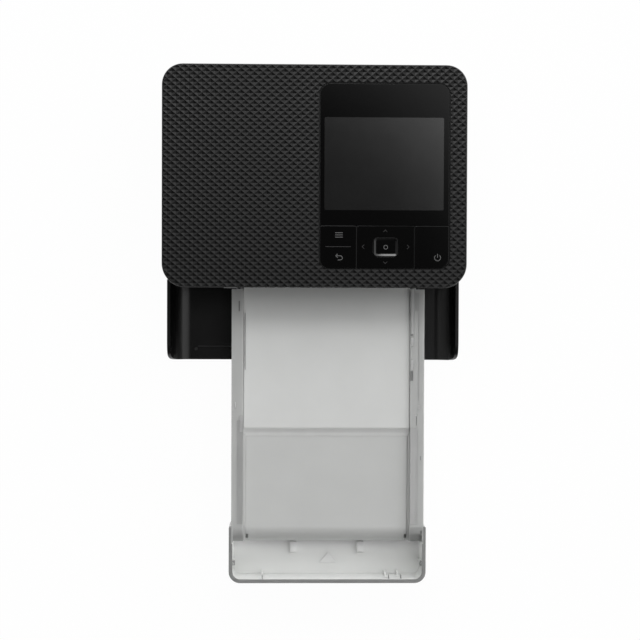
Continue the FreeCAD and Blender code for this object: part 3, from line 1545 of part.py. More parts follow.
def make_paper_stack():
    return box(lift_left, lift_right, paper_back_y - paper_length, paper_back_y, lift_top,
               lift_top + paper_thickness)


def make_lift_plate():
    plate = box(lift_left, lift_right, lift_hinge_y - lift_tail, paper_back_y, lift_bottom, lift_top)
    return join(plate, rod(lift_pin_radius, channel_left - lift_pin_reach, lift_left, lift_hinge_y, lift_hinge_z),
                rod(lift_pin_radius, lift_right, channel_right + lift_pin_reach, lift_hinge_y, lift_hinge_z))


# Every piece, under the name of its own file
PIECES = {
    "base_case": make_base_case,
    "side_case": make_side_case,
    "top_cover": make_top_cover,
    "front_frame": make_front_frame,
    "foot_pads": make_foot_pads,
    "case_screws": make_case_screws,
    "front_cover": make_front_cover,
    "cover_hinge_pins": make_cover_hinge_pins,
    "control_panel": make_control_panel,
    "display_window": make_display_window,
    "display_module": make_display_module,
    "menu_back_key": make_menu_back_key,
    "nav_key": make_nav_key,
    "ok_key": make_ok_key,
    "power_key": make_power_key,
    "key_mat": make_key_mat,
    "key_board": make_key_board,
    "main_board": make_main_board,
    "port_board": make_port_board,
    "usb_port": make_usb_port,
    "card_socket": make_card_socket,
    "dc_inlet": make_dc_inlet,
    "left_side_plate": make_left_side_plate,
    "right_side_plate": make_right_side_plate,
    "roller_bushes": make_roller_bushes,
    "pinch_springs": make_pinch_springs,
    "nose_tray": make_nose_tray,
    "paper_guide": make_paper_guide,
    "pickup_shaft": make_pickup_shaft,
    "pickup_tyres": make_pickup_tyres,
    "pickup_gear": make_pickup_gear,
    "capstan_roller": make_capstan_roller,
    "capstan_gear": make_capstan_gear,
    "platen_shaft": make_platen_shaft,
    "platen_sleeve": make_platen_sleeve,
    "pinch_roller": make_pinch_roller,
    "reduction_gear": make_reduction_gear,
    "gear_bracket": make_gear_bracket,
    "feed_motor": make_feed_motor,
    "feed_pinion": make_feed_pinion,
    "ribbon_motor": make_ribbon_motor,
    "ribbon_pinion": make_ribbon_pinion,
    "takeup_coupler": make_takeup_coupler,
    "takeup_spool": make_takeup_spool,
    "takeup_ribbon": make_takeup_ribbon,
    "supply_spool": make_supply_spool,
    "supply_ribbon": make_supply_ribbon,
    "ribbon_film": make_ribbon_film,
    "ink_cassette": make_ink_cassette,
    "ink_door": make_ink_door,
    "door_hinge_pins": make_door_hinge_pins,
    "ink_latch": make_ink_latch,
    "thermal_head": make_thermal_head,
    "head_arm": make_head_arm,
    "arm_pivot_rod": make_arm_pivot_rod,
    "cassette_base": make_cassette_base,
    "cassette_inner_cover": make_inner_cover,
    "cassette_outer_cover": make_outer_cover,
    "paper_stack": make_paper_stack,
    "lift_plate": make_lift_plate,
}

os.makedirs("parts", exist_ok=True)
for name, make in PIECES.items():
    shape = make()
    if isinstance(shape, list):
        shape = Part.makeCompound(shape)
    shape.exportStep("parts/" + name + ".step")
    print(name, len(shape.Solids), round(shape.Volume, 1), shape.isValid())
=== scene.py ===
"""The looks of a compact photo printer, seen from above with its front cover down and its cassette in.

Metres. +X is right, +Y is back, +Z is up. Values whose names end in _MM are in millimetres.
"""

import json
import math

import bmesh
import bpy
from mathutils import Euler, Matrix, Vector


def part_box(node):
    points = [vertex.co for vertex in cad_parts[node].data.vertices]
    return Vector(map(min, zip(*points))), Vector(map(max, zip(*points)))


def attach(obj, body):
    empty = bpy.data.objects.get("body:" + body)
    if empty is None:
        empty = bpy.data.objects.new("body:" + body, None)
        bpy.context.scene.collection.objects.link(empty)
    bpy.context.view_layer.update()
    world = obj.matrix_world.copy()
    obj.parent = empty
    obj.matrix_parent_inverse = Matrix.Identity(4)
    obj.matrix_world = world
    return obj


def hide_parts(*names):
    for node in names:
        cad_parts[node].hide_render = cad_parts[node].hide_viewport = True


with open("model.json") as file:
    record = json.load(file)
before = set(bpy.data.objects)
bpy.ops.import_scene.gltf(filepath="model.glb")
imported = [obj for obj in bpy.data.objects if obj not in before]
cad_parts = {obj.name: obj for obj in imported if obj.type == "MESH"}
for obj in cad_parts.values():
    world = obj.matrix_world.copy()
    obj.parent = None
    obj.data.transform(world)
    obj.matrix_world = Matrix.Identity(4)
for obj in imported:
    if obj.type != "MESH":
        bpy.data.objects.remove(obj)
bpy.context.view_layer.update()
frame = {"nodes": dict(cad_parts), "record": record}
nodes = frame["nodes"]
record = frame["record"]
body_of_node = {node: body for body, members in record["behaviour"]["bodies"].items() for node in members}
slot_of_node = {row["node"]: row["material_slot"] for row in record["subparts"]}
MM = 0.001


# Camera and lamp

CAMERA_PLACE_MM = (-16.59, 21.14, 943.93)
CAMERA_TURN_DEG = (-1.0341, -1.2873, 0.2031)
CAMERA_FOCAL_PIXELS = 1485.63
CAMERA_REACH = 20.0
PICTURE_PIXELS = 640
SENSOR_MM = 36.0

SOFTBOX_PLACE = (-0.07, 0.50, 0.60)
SOFTBOX_AIM = (0.0, 0.0, 0.03)
SOFTBOX_WIDTH = 0.35
SOFTBOX_HEIGHT = 0.2
SOFTBOX_WATTS = 1.1


def set_up_camera():
    data = bpy.data.cameras.new("camera")
    data.sensor_width = SENSOR_MM
    data.lens = CAMERA_FOCAL_PIXELS * SENSOR_MM / PICTURE_PIXELS
    data.clip_end = CAMERA_REACH
    camera = bpy.data.objects.new("camera", data)
    camera.location = [value * MM for value in CAMERA_PLACE_MM]
    camera.rotation_euler = Euler([math.radians(value) for value in CAMERA_TURN_DEG], "XYZ")
    bpy.context.scene.collection.objects.link(camera)
    bpy.context.scene.camera = camera


def add_softbox():
    """A small soft lamp behind the object, which draws the highlights along its edges."""
    data = bpy.data.lights.new("softbox", "AREA")
    data.shape = "RECTANGLE"
    data.size = SOFTBOX_WIDTH
    data.size_y = SOFTBOX_HEIGHT
    data.energy = SOFTBOX_WATTS
    lamp = bpy.data.objects.new("softbox", data)
    lamp.visible_camera = False
    lamp.location = SOFTBOX_PLACE
    lamp.rotation_euler = (Vector(SOFTBOX_AIM) - Vector(SOFTBOX_PLACE)).to_track_quat("-Z", "Y").to_euler()
    bpy.context.scene.collection.objects.link(lamp)


# Shader maths

class Wire:
    """A shader socket that takes part in Python sums."""

    def __init__(self, finish, socket):
        self.finish = finish
        self.socket = socket

    def math(self, operation, *values):
        return self.finish.node("ShaderNodeMath", {"operation": operation}, dict(enumerate(values)))

    def __add__(self, other):
        return self.math("ADD", self, other)

    def __radd__(self, other):
        return self.math("ADD", other, self)

    def __sub__(self, other):
        return self.math("SUBTRACT", self, other)

    def __rsub__(self, other):
        return self.math("SUBTRACT", other, self)

    def __mul__(self, other):
        return self.math("MULTIPLY", self, other)

    def at_least(self, other):
        return self.math("MAXIMUM", self, other)

    def at_most(self, other):
        return self.math("MINIMUM", self, other)


# Sockets of the colour mix node, by number because several share a name
MIX_SHARE, MIX_FIRST, MIX_SECOND, MIX_RESULT = 0, 6, 7, 2


class Finish:
    """A material, or the world, and the nodes that make it."""

    def __init__(self, name, kind="materials"):
        self.owner = getattr(bpy.data, kind).new(name)
        self.owner.use_nodes = True
        self.tree = self.owner.node_tree
        self.tree.nodes.clear()

    def node(self, kind, settings=None, sockets=None, output=0):
        made = self.tree.nodes.new(kind)
        for name, value in (settings or {}).items():
            setattr(made, name, value)
        for name, value in (sockets or {}).items():
            if isinstance(value, Wire):
                self.tree.links.new(value.socket, made.inputs[name])
            else:
                made.inputs[name].default_value = value
        return Wire(self, made.outputs[output]) if len(made.outputs) else None

    def place(self):
        """The point on the piece, in metres."""
        return self.node("ShaderNodeTexCoord", output="Object")

    def stretched(self, scale):
        """The point on the piece, with each axis scaled by its own factor."""
        return self.node("ShaderNodeMapping", {}, {"Vector": self.place(), "Scale": scale})

    def noise(self, size_mm, detail=2.0, roughness=0.5, vector=None):
        """Smooth noise from 0 to 1 whose features are about this large."""
        return self.node("ShaderNodeTexNoise", {}, {
            "Vector": vector or self.place(), "Scale": 1 / (size_mm * MM), "Detail": detail,
            "Roughness": roughness})

    def blend(self, share, first, second):
        """One colour turning into another."""
        return self.node("ShaderNodeMix", {"data_type": "RGBA"},
                         {MIX_SHARE: share, MIX_FIRST: first, MIX_SECOND: second}, output=MIX_RESULT)

    def rising(self, axis, range_mm):
        """Turns from 0 to 1 between two places along an axis."""
        place = self.node("ShaderNodeSeparateXYZ", {}, {"Vector": self.place()}, output=axis)
        start_mm, end_mm = range_mm
        return self.node("ShaderNodeMapRange", {"interpolation_type": "SMOOTHSTEP"},
                         {"Value": place, "From Min": start_mm * MM, "From Max": end_mm * MM})

    def bump(self, height, depth_mm):
        return self.node("ShaderNodeBump", {}, {"Height": height, "Distance": depth_mm * MM, "Strength": 1.0})

    def surface(self, **sockets):
        """The shader itself, under the names of the Principled sockets."""
        inputs = {name.replace("_", " "): value for name, value in sockets.items()}
        shader = self.node("ShaderNodeBsdfPrincipled", {}, inputs)
        self.node("ShaderNodeOutputMaterial", {}, {"Surface": shader})
        return self.owner


def grey(value):
    return (value, value, value, 1.0)


def tinted(level, factors):
    """A grey level pulled towards a colour by its three factors."""
    return tuple(level * factor for factor in factors) + (1.0,)


def swaying(level, noise, sway):
    """A level that noise moves up and down from its middle."""
    return level + (noise - 0.5) * sway


# Finishes. Dark and pale are the factors on a finish's level where its texture is darkest and palest, and
# sway is how far the roughness follows the texture

WEAR_MM = 28.0
WEAR_DARK = (0.85, 0.85, 0.88)
WEAR_PALE = (1.2, 1.2, 1.22)
WEAR_SWAY = 0.12


def moulded_black(name, level, roughness, grain_mm=0.35, grain_depth_mm=0.012, shine=0.5):
    """Black moulded plastic with a fine spark-eroded grain and faint handling marks."""
    finish = Finish(name)
    grain = finish.noise(grain_mm, detail=3.0)
    wear = finish.noise(WEAR_MM, detail=4.0)
    color = finish.blend(wear, tinted(level, WEAR_DARK), tinted(level, WEAR_PALE))
    return finish.surface(Base_Color=color, Roughness=swaying(roughness, wear, WEAR_SWAY),
                          Normal=finish.bump(grain, grain_depth_mm), Specular_IOR_Level=shine)


SMEAR_MM = 16.0
SMEAR_DARK = 0.9
SMEAR_PALE = 1.15
SMEAR_SWAY = 0.03
WAVE_MM = 9.0
WAVE_DEPTH_MM = 0.004


def gloss_black(name, level, roughness=0.06, index=1.5):
    """Polished black plastic with a barely wavy surface and a trace of dust."""
    finish = Finish(name)
    smear = finish.noise(SMEAR_MM, detail=5.0, roughness=0.6)
    color = finish.blend(smear, grey(level * SMEAR_DARK), grey(level * SMEAR_PALE))
    wave = finish.noise(WAVE_MM, detail=1.0)
    return finish.surface(Base_Color=color, Roughness=roughness + smear * SMEAR_SWAY,
                          Normal=finish.bump(wave, WAVE_DEPTH_MM), IOR=index)


CLOUD_MM = 22.0
CLOUD_DARK = (0.96, 0.97, 0.955)
CLOUD_PALE = (1.03, 1.04, 1.025)
CLOUD_SWAY = 0.1
FROST_GRAIN_MM = 0.5
FROST_GRAIN_DEPTH_MM = 0.01
FROST_ROUGHNESS = 0.42
FROST_INDEX = 1.49
FROST_DEPTH = 0.0018


class Frosted(Finish):
    """Milky moulding, a little cloudy from place to place."""

    def __init__(self, name):
        super().__init__(name)
        self.cloud = self.noise(CLOUD_MM, detail=3.0)

    def clouded(self, level):
        return self.blend(self.cloud, tinted(level, CLOUD_DARK), tinted(level, CLOUD_PALE))

    def milky(self, color):
        grain = self.noise(FROST_GRAIN_MM, detail=3.0)
        return self.surface(Base_Color=color, Roughness=swaying(FROST_ROUGHNESS, self.cloud, CLOUD_SWAY),
                            Normal=self.bump(grain, FROST_GRAIN_DEPTH_MM), IOR=FROST_INDEX,
                            Subsurface_Weight=1.0, Subsurface_Scale=FROST_DEPTH,
                            Subsurface_Radius=(1.0, 1.0, 1.0))


def frosted(name, level):
    finish = Frosted(name)
    return finish.milky(finish.clouded(level))


# Where the cassette's plastic turns from one painted level to the next, front to back, left to right or
# upwards: painted shade on the rail ends, painted light in the tray and under its curl, painted shade on the
# rim
RAIL_END_MM = (-131.0, -122.5)
RAIL_END_PAINTED_SHADE = 0.78
UNDER_CURL_MM = (-148.0, -136.0)
UNDER_CURL_PAINTED_LIGHT = 1.28
TRAY_LEFT_MM = (-50.4, -50.0)
TRAY_RIGHT_MM = (68.0, 68.4)
TRAY_FRONT_MM = (-156.4, -155.8)
TRAY_BACK_MM = (-133.2, -132.2)
RIM_LEFT_MM = (-50.4, -49.9)
RIM_RIGHT_MM = (67.9, 68.4)
RIM_BACK_MM = (-133.4, -132.6)
RIM_HEIGHT_MM = (29.8, 31.0)


def frosted_cassette(name, level, painted_light_tray_level, painted_shade_rim_level):
    """Milky moulding with painted shade on the rail ends, the inside of the end tray painted paler for the
    light that the floor sends through it, and painted shade on the rim round it.
    """
    finish = Frosted(name)
    rising = finish.rising
    # Painted shade: the rail ends are darker where they curve down, away from the light
    color = finish.blend(rising("Y", RAIL_END_MM), finish.clouded(level * RAIL_END_PAINTED_SHADE),
                         finish.clouded(level))
    # Painted light: the tray floor is paler under the curl, to cancel the curl's shadow there
    tray = finish.blend(rising("Y", UNDER_CURL_MM), finish.clouded(painted_light_tray_level),
                        finish.clouded(painted_light_tray_level * UNDER_CURL_PAINTED_LIGHT))
    across = rising("X", TRAY_LEFT_MM) * (1.0 - rising("X", TRAY_RIGHT_MM))
    along = rising("Y", TRAY_FRONT_MM) * (1.0 - rising("Y", TRAY_BACK_MM))
    # Painted light: the inside of the end tray, where light from the floor comes through the thin plastic
    color = finish.blend(across * along, color, tray)
    outer_edge = rising("X", RIM_RIGHT_MM) + (1.0 - rising("X", RIM_LEFT_MM))
    front_part = (outer_edge + (1.0 - rising("Y", RIM_BACK_MM))).at_most(1.0)
    # Painted shade: the tops of the outer walls and the tray's rim are darker
    rim = front_part * rising("Z", RIM_HEIGHT_MM)
    return finish.milky(finish.blend(rim, color, finish.clouded(painted_shade_rim_level)))


RUBBER_GRAIN_MM = 0.25
RUBBER_GRAIN_DEPTH_MM = 0.02
RUBBER_DARK = 0.8
RUBBER_PALE = 1.25
RUBBER_ROUGHNESS = 0.82
RUBBER_SWAY = 0.1


def rubber(name, level):
    finish = Finish(name)
    grain = finish.noise(RUBBER_GRAIN_MM, detail=4.0)
    color = finish.blend(grain, grey(level * RUBBER_DARK), grey(level * RUBBER_PALE))
    return finish.surface(Base_Color=color, Roughness=RUBBER_ROUGHNESS + grain * RUBBER_SWAY,
                          Normal=finish.bump(grain, RUBBER_GRAIN_DEPTH_MM))


STREAK_MM = 3.0
STREAK_STRETCH = (1.0, 14.0, 14.0)
STREAK_DEPTH_MM = 0.006
MOTTLE_MM = 6.0
MOTTLE_DARK = (0.88, 0.88, 0.86)
MOTTLE_PALE = (1.0, 1.0, 0.98)
SHEET_ROUGHNESS = 0.26
SHEET_SWAY = 0.16


def plated_sheet(name, level):
    """Rolled and plated steel: fine lines along the sheet and a faint mottle."""
    finish = Finish(name)
    streak = finish.noise(STREAK_MM, detail=4.0, vector=finish.stretched(STREAK_STRETCH))
    mottle = finish.noise(MOTTLE_MM, detail=3.0)
    color = finish.blend(mottle, tinted(level, MOTTLE_DARK), tinted(level, MOTTLE_PALE))
    return finish.surface(Base_Color=color, Metallic=1.0, Roughness=SHEET_ROUGHNESS + streak * SHEET_SWAY,
                          Normal=finish.bump(streak, STREAK_DEPTH_MM))


RING_MM = 5.0
RING_STRETCH = (30.0, 1.0, 1.0)
RING_DARK = 0.92
SHAFT_ROUGHNESS = 0.16
SHAFT_SWAY = 0.14


def ground_steel(name, level):
    """A turned and ground shaft: rings round it."""
    finish = Finish(name)
    ring = finish.noise(RING_MM, detail=3.0, vector=finish.stretched(RING_STRETCH))
    color = finish.blend(ring, grey(level * RING_DARK), grey(level))
    return finish.surface(Base_Color=color, Metallic=1.0, Roughness=SHAFT_ROUGHNESS + ring * SHAFT_SWAY)


PALE_CLOUD_MM = 8.0
PALE_CLOUD_DARK = 0.93
PALE_CLOUD_PALE = 1.04
PALE_CLOUD_SWAY = 0.1
PALE_GRAIN_MM = 0.4
PALE_GRAIN_DEPTH_MM = 0.008


def moulded_pale(name, color_rgb, roughness=0.5):
    """Plain moulded plastic in any colour."""
    finish = Finish(name)
    cloud = finish.noise(PALE_CLOUD_MM, detail=3.0)
    low = tuple(value * PALE_CLOUD_DARK for value in color_rgb) + (1.0,)
    high = tuple(min(1.0, value * PALE_CLOUD_PALE) for value in color_rgb) + (1.0,)
    grain = finish.noise(PALE_GRAIN_MM, detail=2.0)
    return finish.surface(Base_Color=finish.blend(cloud, low, high),
                          Roughness=swaying(roughness, cloud, PALE_CLOUD_SWAY),
                          Normal=finish.bump(grain, PALE_GRAIN_DEPTH_MM))


TRACKS_PER_METRE = 160.0
TRACK_WIDTH = 0.035
# How far the fields between the tracks lean to the track colour, from one field to another
FIELD_SHARES = (0.0, 0.25)
RESIST_COLOR = (0.008, 0.075, 0.03, 1.0)
TRACK_COLOR = (0.02, 0.16, 0.06, 1.0)
RESIST_ROUGHNESS = 0.3


def board_green(name):
    """Solder resist with copper showing through as slightly lighter tracks."""
    finish = Finish(name)
    tracks = finish.node("ShaderNodeTexBrick", {"offset": 0.5}, {
        "Vector": finish.place(), "Scale": TRACKS_PER_METRE, "Mortar Size": TRACK_WIDTH,
        "Color1": grey(FIELD_SHARES[0]), "Color2": grey(FIELD_SHARES[1]), "Mortar": grey(1.0)})
    color = finish.blend(tracks, RESIST_COLOR, TRACK_COLOR)
    return finish.surface(Base_Color=color, Roughness=RESIST_ROUGHNESS)


FIBRE_MM = 0.6
FIBRE_DEPTH_MM = 0.004
PAPER_DARK = 0.78
PAPER_PALE = 0.84
PAPER_ROUGHNESS = 0.35
PAPER_SWAY = 0.2


def paper(name):
    finish = Finish(name)
    fibre = finish.noise(FIBRE_MM, detail=5.0)
    color = finish.blend(fibre, grey(PAPER_DARK), grey(PAPER_PALE))
    return finish.surface(Base_Color=color, Roughness=PAPER_ROUGHNESS + fibre * PAPER_SWAY,
                          Normal=finish.bump(fibre, FIBRE_DEPTH_MM))


FINISHES = {
    "case_plastic": moulded_black("case_plastic", level=0.004, roughness=0.24),
    "gloss_panel": gloss_black("gloss_panel", level=0.0008),
    "inner_plastic": moulded_black("inner_plastic", level=0.02, roughness=0.55),
    "foot_rubber": rubber("foot_rubber", level=0.03),
    "roller_rubber": rubber("roller_rubber", level=0.045),
    "sheet_steel": plated_sheet("sheet_steel", level=0.66),
    "shaft_steel": ground_steel("shaft_steel", level=0.68),
    "gear_plastic": moulded_pale("gear_plastic", (0.78, 0.77, 0.71)),
    "motor_steel": plated_sheet("motor_steel", level=0.58),
    "board_laminate": board_green("board_laminate"),
    "display_glass": gloss_black("display_glass", level=0.006, roughness=0.12),
    "spool_plastic": moulded_pale("spool_plastic", (0.6, 0.6, 0.6)),
    "ribbon_black": gloss_black("ribbon_black", level=0.01, roughness=0.22),
    "head_aluminium": plated_sheet("head_aluminium", level=0.74),
    "cassette_plastic": frosted_cassette("cassette_plastic", level=0.52, painted_light_tray_level=0.74, painted_shade_rim_level=0.28),
    "paper_white": paper("paper_white"),
}
INNER_LID_FINISH = frosted("cassette_inner_lid_plastic", level=0.76)
OUTER_LID_FINISH = frosted("cassette_outer_lid_plastic", level=0.635)
# Copies of the milky plastic at other levels, which paint shade and light on the cassette's small forms
DEEP_PAINTED_SHADE_FINISH = frosted("cassette_deep_painted_shade", level=0.24)
SOFT_PAINTED_SHADE_FINISH = frosted("cassette_soft_painted_shade", level=0.46)
PAINTED_LIGHT_FINISH = frosted("cassette_painted_light", level=0.6)
PAINTED_HIGHLIGHT_FINISH = frosted("cassette_painted_highlight", level=0.84)
STEP_FINISH = moulded_pale("cassette_step_plastic", (0.74, 0.745, 0.735), roughness=0.45)
RELIEF_FINISH = moulded_black("relief_plastic", level=0.002, roughness=0.37, grain_mm=0.3,
                              grain_depth_mm=0.006, shine=0.26)
# Lighter black plastic for the top of the front cover's rib and its stud: a painted highlight
RIB_PAINTED_HIGHLIGHT_FINISH = moulded_black("rib_painted_highlight_plastic", level=0.011, roughness=0.35)
SCREEN_FINISH = gloss_black("screen_face", level=0.001, roughness=0.09, index=2.3)
MARK_FINISH = moulded_pale("printed_mark", (0.1, 0.1, 0.1), roughness=0.6)
FAINT_MARK_FINISH = moulded_pale("faint_mark", (0.012, 0.012, 0.012), roughness=0.6)


# Making pieces

WELD_DISTANCE = 1e-6
FLAT_ANGLE_DEG = 0.5
SMOOTH_ANGLE_DEG = 32
BEVEL_SEGMENTS = 2
BEVEL_ANGLE_DEG = 35
# The heaviest setting, at which only the largest faces at a corner lead the shading
FACE_WEIGHT = 100


def solid(name, mesh, finish, body, slot, *replaced):
    """A finished piece on its body, standing for the nodes that it replaces."""
    piece = bpy.data.objects.new(name, mesh)
    bpy.context.scene.collection.objects.link(piece)
    mesh.materials.clear()
    mesh.materials.append(finish)
    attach(piece, body)
    if replaced:
        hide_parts(*replaced)


def mesh_from(name, work):
    mesh = bpy.data.meshes.new(name)
    work.to_mesh(mesh)
    work.free()
    return mesh


def join_flat_faces(work, weld_distance, angle_deg):
    """Weld doubled corners and dissolve the edges inside flat faces."""
    bmesh.ops.remove_doubles(work, verts=work.verts, dist=weld_distance)
    bmesh.ops.dissolve_limit(work, angle_limit=math.radians(angle_deg), verts=work.verts, edges=work.edges,
                             use_dissolve_boundaries=False)


def welded(node):
    """The node's mesh with its split edges joined and its flat faces whole."""
    work = bmesh.new()
    work.from_mesh(nodes[node].data)
    join_flat_faces(work, WELD_DISTANCE, FLAT_ANGLE_DEG)
    return work


def with_modifiers(mesh, steps):
    """A copy of a mesh with modifiers worked in. Each step is a type and its settings."""
    carrier = bpy.data.objects.new("carrier", mesh)
    bpy.context.scene.collection.objects.link(carrier)
    for kind, settings in steps:
        modifier = carrier.modifiers.new(kind.lower(), kind)
        for name, value in settings.items():
            setattr(modifier, name, value)
    bpy.context.view_layer.update()
    graph = bpy.context.evaluated_depsgraph_get()
    made = bpy.data.meshes.new_from_object(carrier.evaluated_get(graph))
    bpy.data.objects.remove(carrier)
    return made


def shade(mesh, angle_deg=SMOOTH_ANGLE_DEG):
    """Smooth curved faces and leave the edges crisp."""
    for polygon in mesh.polygons:
        polygon.use_smooth = True
    mesh.set_sharp_from_angle(angle=math.radians(angle_deg))
    return mesh


def softened(node, width_mm, keep_flat=False):
    """The node with its sharp edges rounded off; keep_flat stops broad faces from shading round ribs."""
    mesh = shade(mesh_from(node, welded(node)))
    steps = [("BEVEL", {"width": width_mm * MM, "segments": BEVEL_SEGMENTS, "limit_method": "ANGLE",
                        "angle_limit": math.radians(BEVEL_ANGLE_DEG), "harden_normals": True,
                        "use_clamp_overlap": True})]
    if keep_flat:
        steps.append(("WEIGHTED_NORMAL", {"mode": "FACE_AREA", "weight": FACE_WEIGHT, "keep_sharp": True}))
    return with_modifiers(mesh, steps)


def rounded_outline(x0, x1, y0, y1, front_radius, back_radius, steps=10):
    """Points round a rectangle with rounded corners, anticlockwise."""
    points = []
    for x, y, radius, start in ((x0, y0, front_radius, 180), (x1, y0, front_radius, 270),
                                (x1, y1, back_radius, 0), (x0, y1, back_radius, 90)):
        middle_x = x + radius if x == x0 else x - radius
        middle_y = y + radius if y == y0 else y - radius
        for step in range(steps + 1):
            angle = math.radians(start + 90 * step / steps)
            points.append((middle_x + radius * math.cos(angle), middle_y + radius * math.sin(angle)))
    return points


def rectangle(x0, x1, y0, y1):
    return [(x0, y0), (x1, y0), (x1, y1), (x0, y1)]


def arc(middle, radius, start_deg, end_deg, steps=24):
    """Points along part of a circle."""
    angles = [math.radians(start_deg + (end_deg - start_deg) * step / steps) for step in range(steps + 1)]
    return [(middle[0] + radius * math.cos(angle), middle[1] + radius * math.sin(angle)) for angle in angles]


def circle(middle, radius, count=24):
    """Points round a full circle."""
    return arc(middle, radius, 0, 360 - 360 / count, count - 1)


def join_rings(work, rings):
    """Faces between each ring of corners and the next."""
    for first, second in zip(rings, rings[1:]):
        for index in range(len(first)):
            after = (index + 1) % len(first)
            work.faces.new((first[index], first[after], second[after], second[index]))


def prism(points, z0, z1):
    """A closed block over an outline."""
    work = bmesh.new()
    low, high = [[work.verts.new((x, y, z)) for x, y in points] for z in (z0, z1)]
    work.faces.new(list(reversed(low)))
    work.faces.new(high)
    join_rings(work, [low, high])
    return work


def inlay(name, outline_mm, top_mm, thick_mm, finish, body, slot="cassette_plastic"):
    """A low raised block over an outline in millimetres."""
    work = prism([(x * MM, y * MM) for x, y in outline_mm], (top_mm - thick_mm) * MM, top_mm * MM)
    bmesh.ops.recalc_face_normals(work, faces=work.faces)
    solid(name, mesh_from(name, work), finish, body, slot)


def beam(name, profile_mm, x_range_mm, finish, body):
    """A solid with an even cross-section, given as back-to-front and height, between two places across."""
    work = bmesh.new()
    left, right = [[work.verts.new((x * MM, y * MM, z * MM)) for y, z in profile_mm] for x in x_range_mm]
    work.faces.new(left)
    work.faces.new(list(reversed(right)))
    join_rings(work, [right, left])
    bmesh.ops.recalc_face_normals(work, faces=work.faces)
    solid(name, shade(mesh_from(name, work)), finish, body, "cassette_plastic")


# Top cover with its relief of pits, each a pyramid upside down

BODY_LOW, BODY_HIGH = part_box("top_cover")
PANEL_LOW, PANEL_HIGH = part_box("display_window")
KEYS_FRONT_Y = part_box("nav_key")[0].y
PIT_WIDTH = 5.17 * MM
PIT_LENGTH = 4.27 * MM
PIT_DEPTH = 0.45 * MM
PIT_WELD_DISTANCE = 2e-6
PIT_FLAT_ANGLE_DEG = 0.2
# Rows and columns laid out beyond those that fit, so that the edges get their cut pits
SPARE_PITS = 2
RELIEF_INSET = 0.75 * MM
# What is left of the relief under its deepest points
RELIEF_WEB = 0.25 * MM
POCKET_OVERRUN = 1 * MM
REAR_CORNER = 12.5 * MM
FRONT_CORNER = 14.3 * MM
PANEL_CORNER = 6.0 * MM
PANEL_RIM = 0.9 * MM


def clip(polygon, start, end, keep_left):
    """The part of a polygon on one side of a line, as (x, y, z) points."""
    along = (end[0] - start[0], end[1] - start[1])
    sign = 1 if keep_left else -1

    def side(point):
        return sign * (along[0] * (point[1] - start[1]) - along[1] * (point[0] - start[0]))

    kept = []
    for index, point in enumerate(polygon):
        after = polygon[(index + 1) % len(polygon)]
        here, there = side(point), side(after)
        if here >= 0:
            kept.append(point)
        if here * there < 0:
            share = here / (here - there)
            kept.append(tuple(a + (b - a) * share for a, b in zip(point, after)))
    return kept if len(kept) > 2 else []


def inside(polygon, outline):
    """The part of a polygon inside a convex outline."""
    for index, start in enumerate(outline):
        polygon = clip(polygon, start, outline[(index + 1) % len(outline)], True)
        if not polygon:
            return []
    return polygon


def outside(polygon, outline):
    """The parts of a polygon outside a convex outline."""
    pieces = []
    for index, start in enumerate(outline):
        end = outline[(index + 1) % len(outline)]
        piece = clip(polygon, start, end, False)
        if piece:
            pieces.append(piece)
        polygon = clip(polygon, start, end, True)
        if not polygon:
            break
    return pieces


def relief_facets(outer, hole, top):
    """The four sides of every pit, cut to the cover's outline and round the panel."""
    middle_x = (BODY_LOW.x + BODY_HIGH.x) / 2
    middle_y = (BODY_LOW.y + BODY_HIGH.y) / 2
    half_x, half_y = PIT_WIDTH / 2, PIT_LENGTH / 2
    across = int((BODY_HIGH.x - BODY_LOW.x) / PIT_WIDTH / 2) + SPARE_PITS
    down = int((BODY_HIGH.y - BODY_LOW.y) / PIT_LENGTH / 2) + SPARE_PITS
    facets = []
    for row in range(-2 * down, 2 * down + 1):
        for column in range(-across, across + 1):
            x = middle_x + (column + (row % 2) / 2) * PIT_WIDTH
            y = middle_y + row * half_y
            deepest = (x, y, top - PIT_DEPTH)
            corners = [(x + half_x, y, top), (x, y + half_y, top), (x - half_x, y, top), (x, y - half_y, top)]
            for index, corner in enumerate(corners):
                facet = inside([corner, corners[(index + 1) % 4], deepest], outer)
                if facet:
                    facets += outside(facet, hole)
    return facets


def close_below(work, floor):
    """Give an open sheet a flat underside and walls along its rims."""
    rim = [edge for edge in work.edges if edge.is_boundary]
    upper = list(work.faces)
    below = {vertex: work.verts.new((vertex.co.x, vertex.co.y, floor)) for vertex in list(work.verts)}
    for face in upper:
        work.faces.new([below[vertex] for vertex in reversed(list(face.verts))])
    for edge in rim:
        first, second = edge.verts
        work.faces.new((first, second, below[second], below[first]))


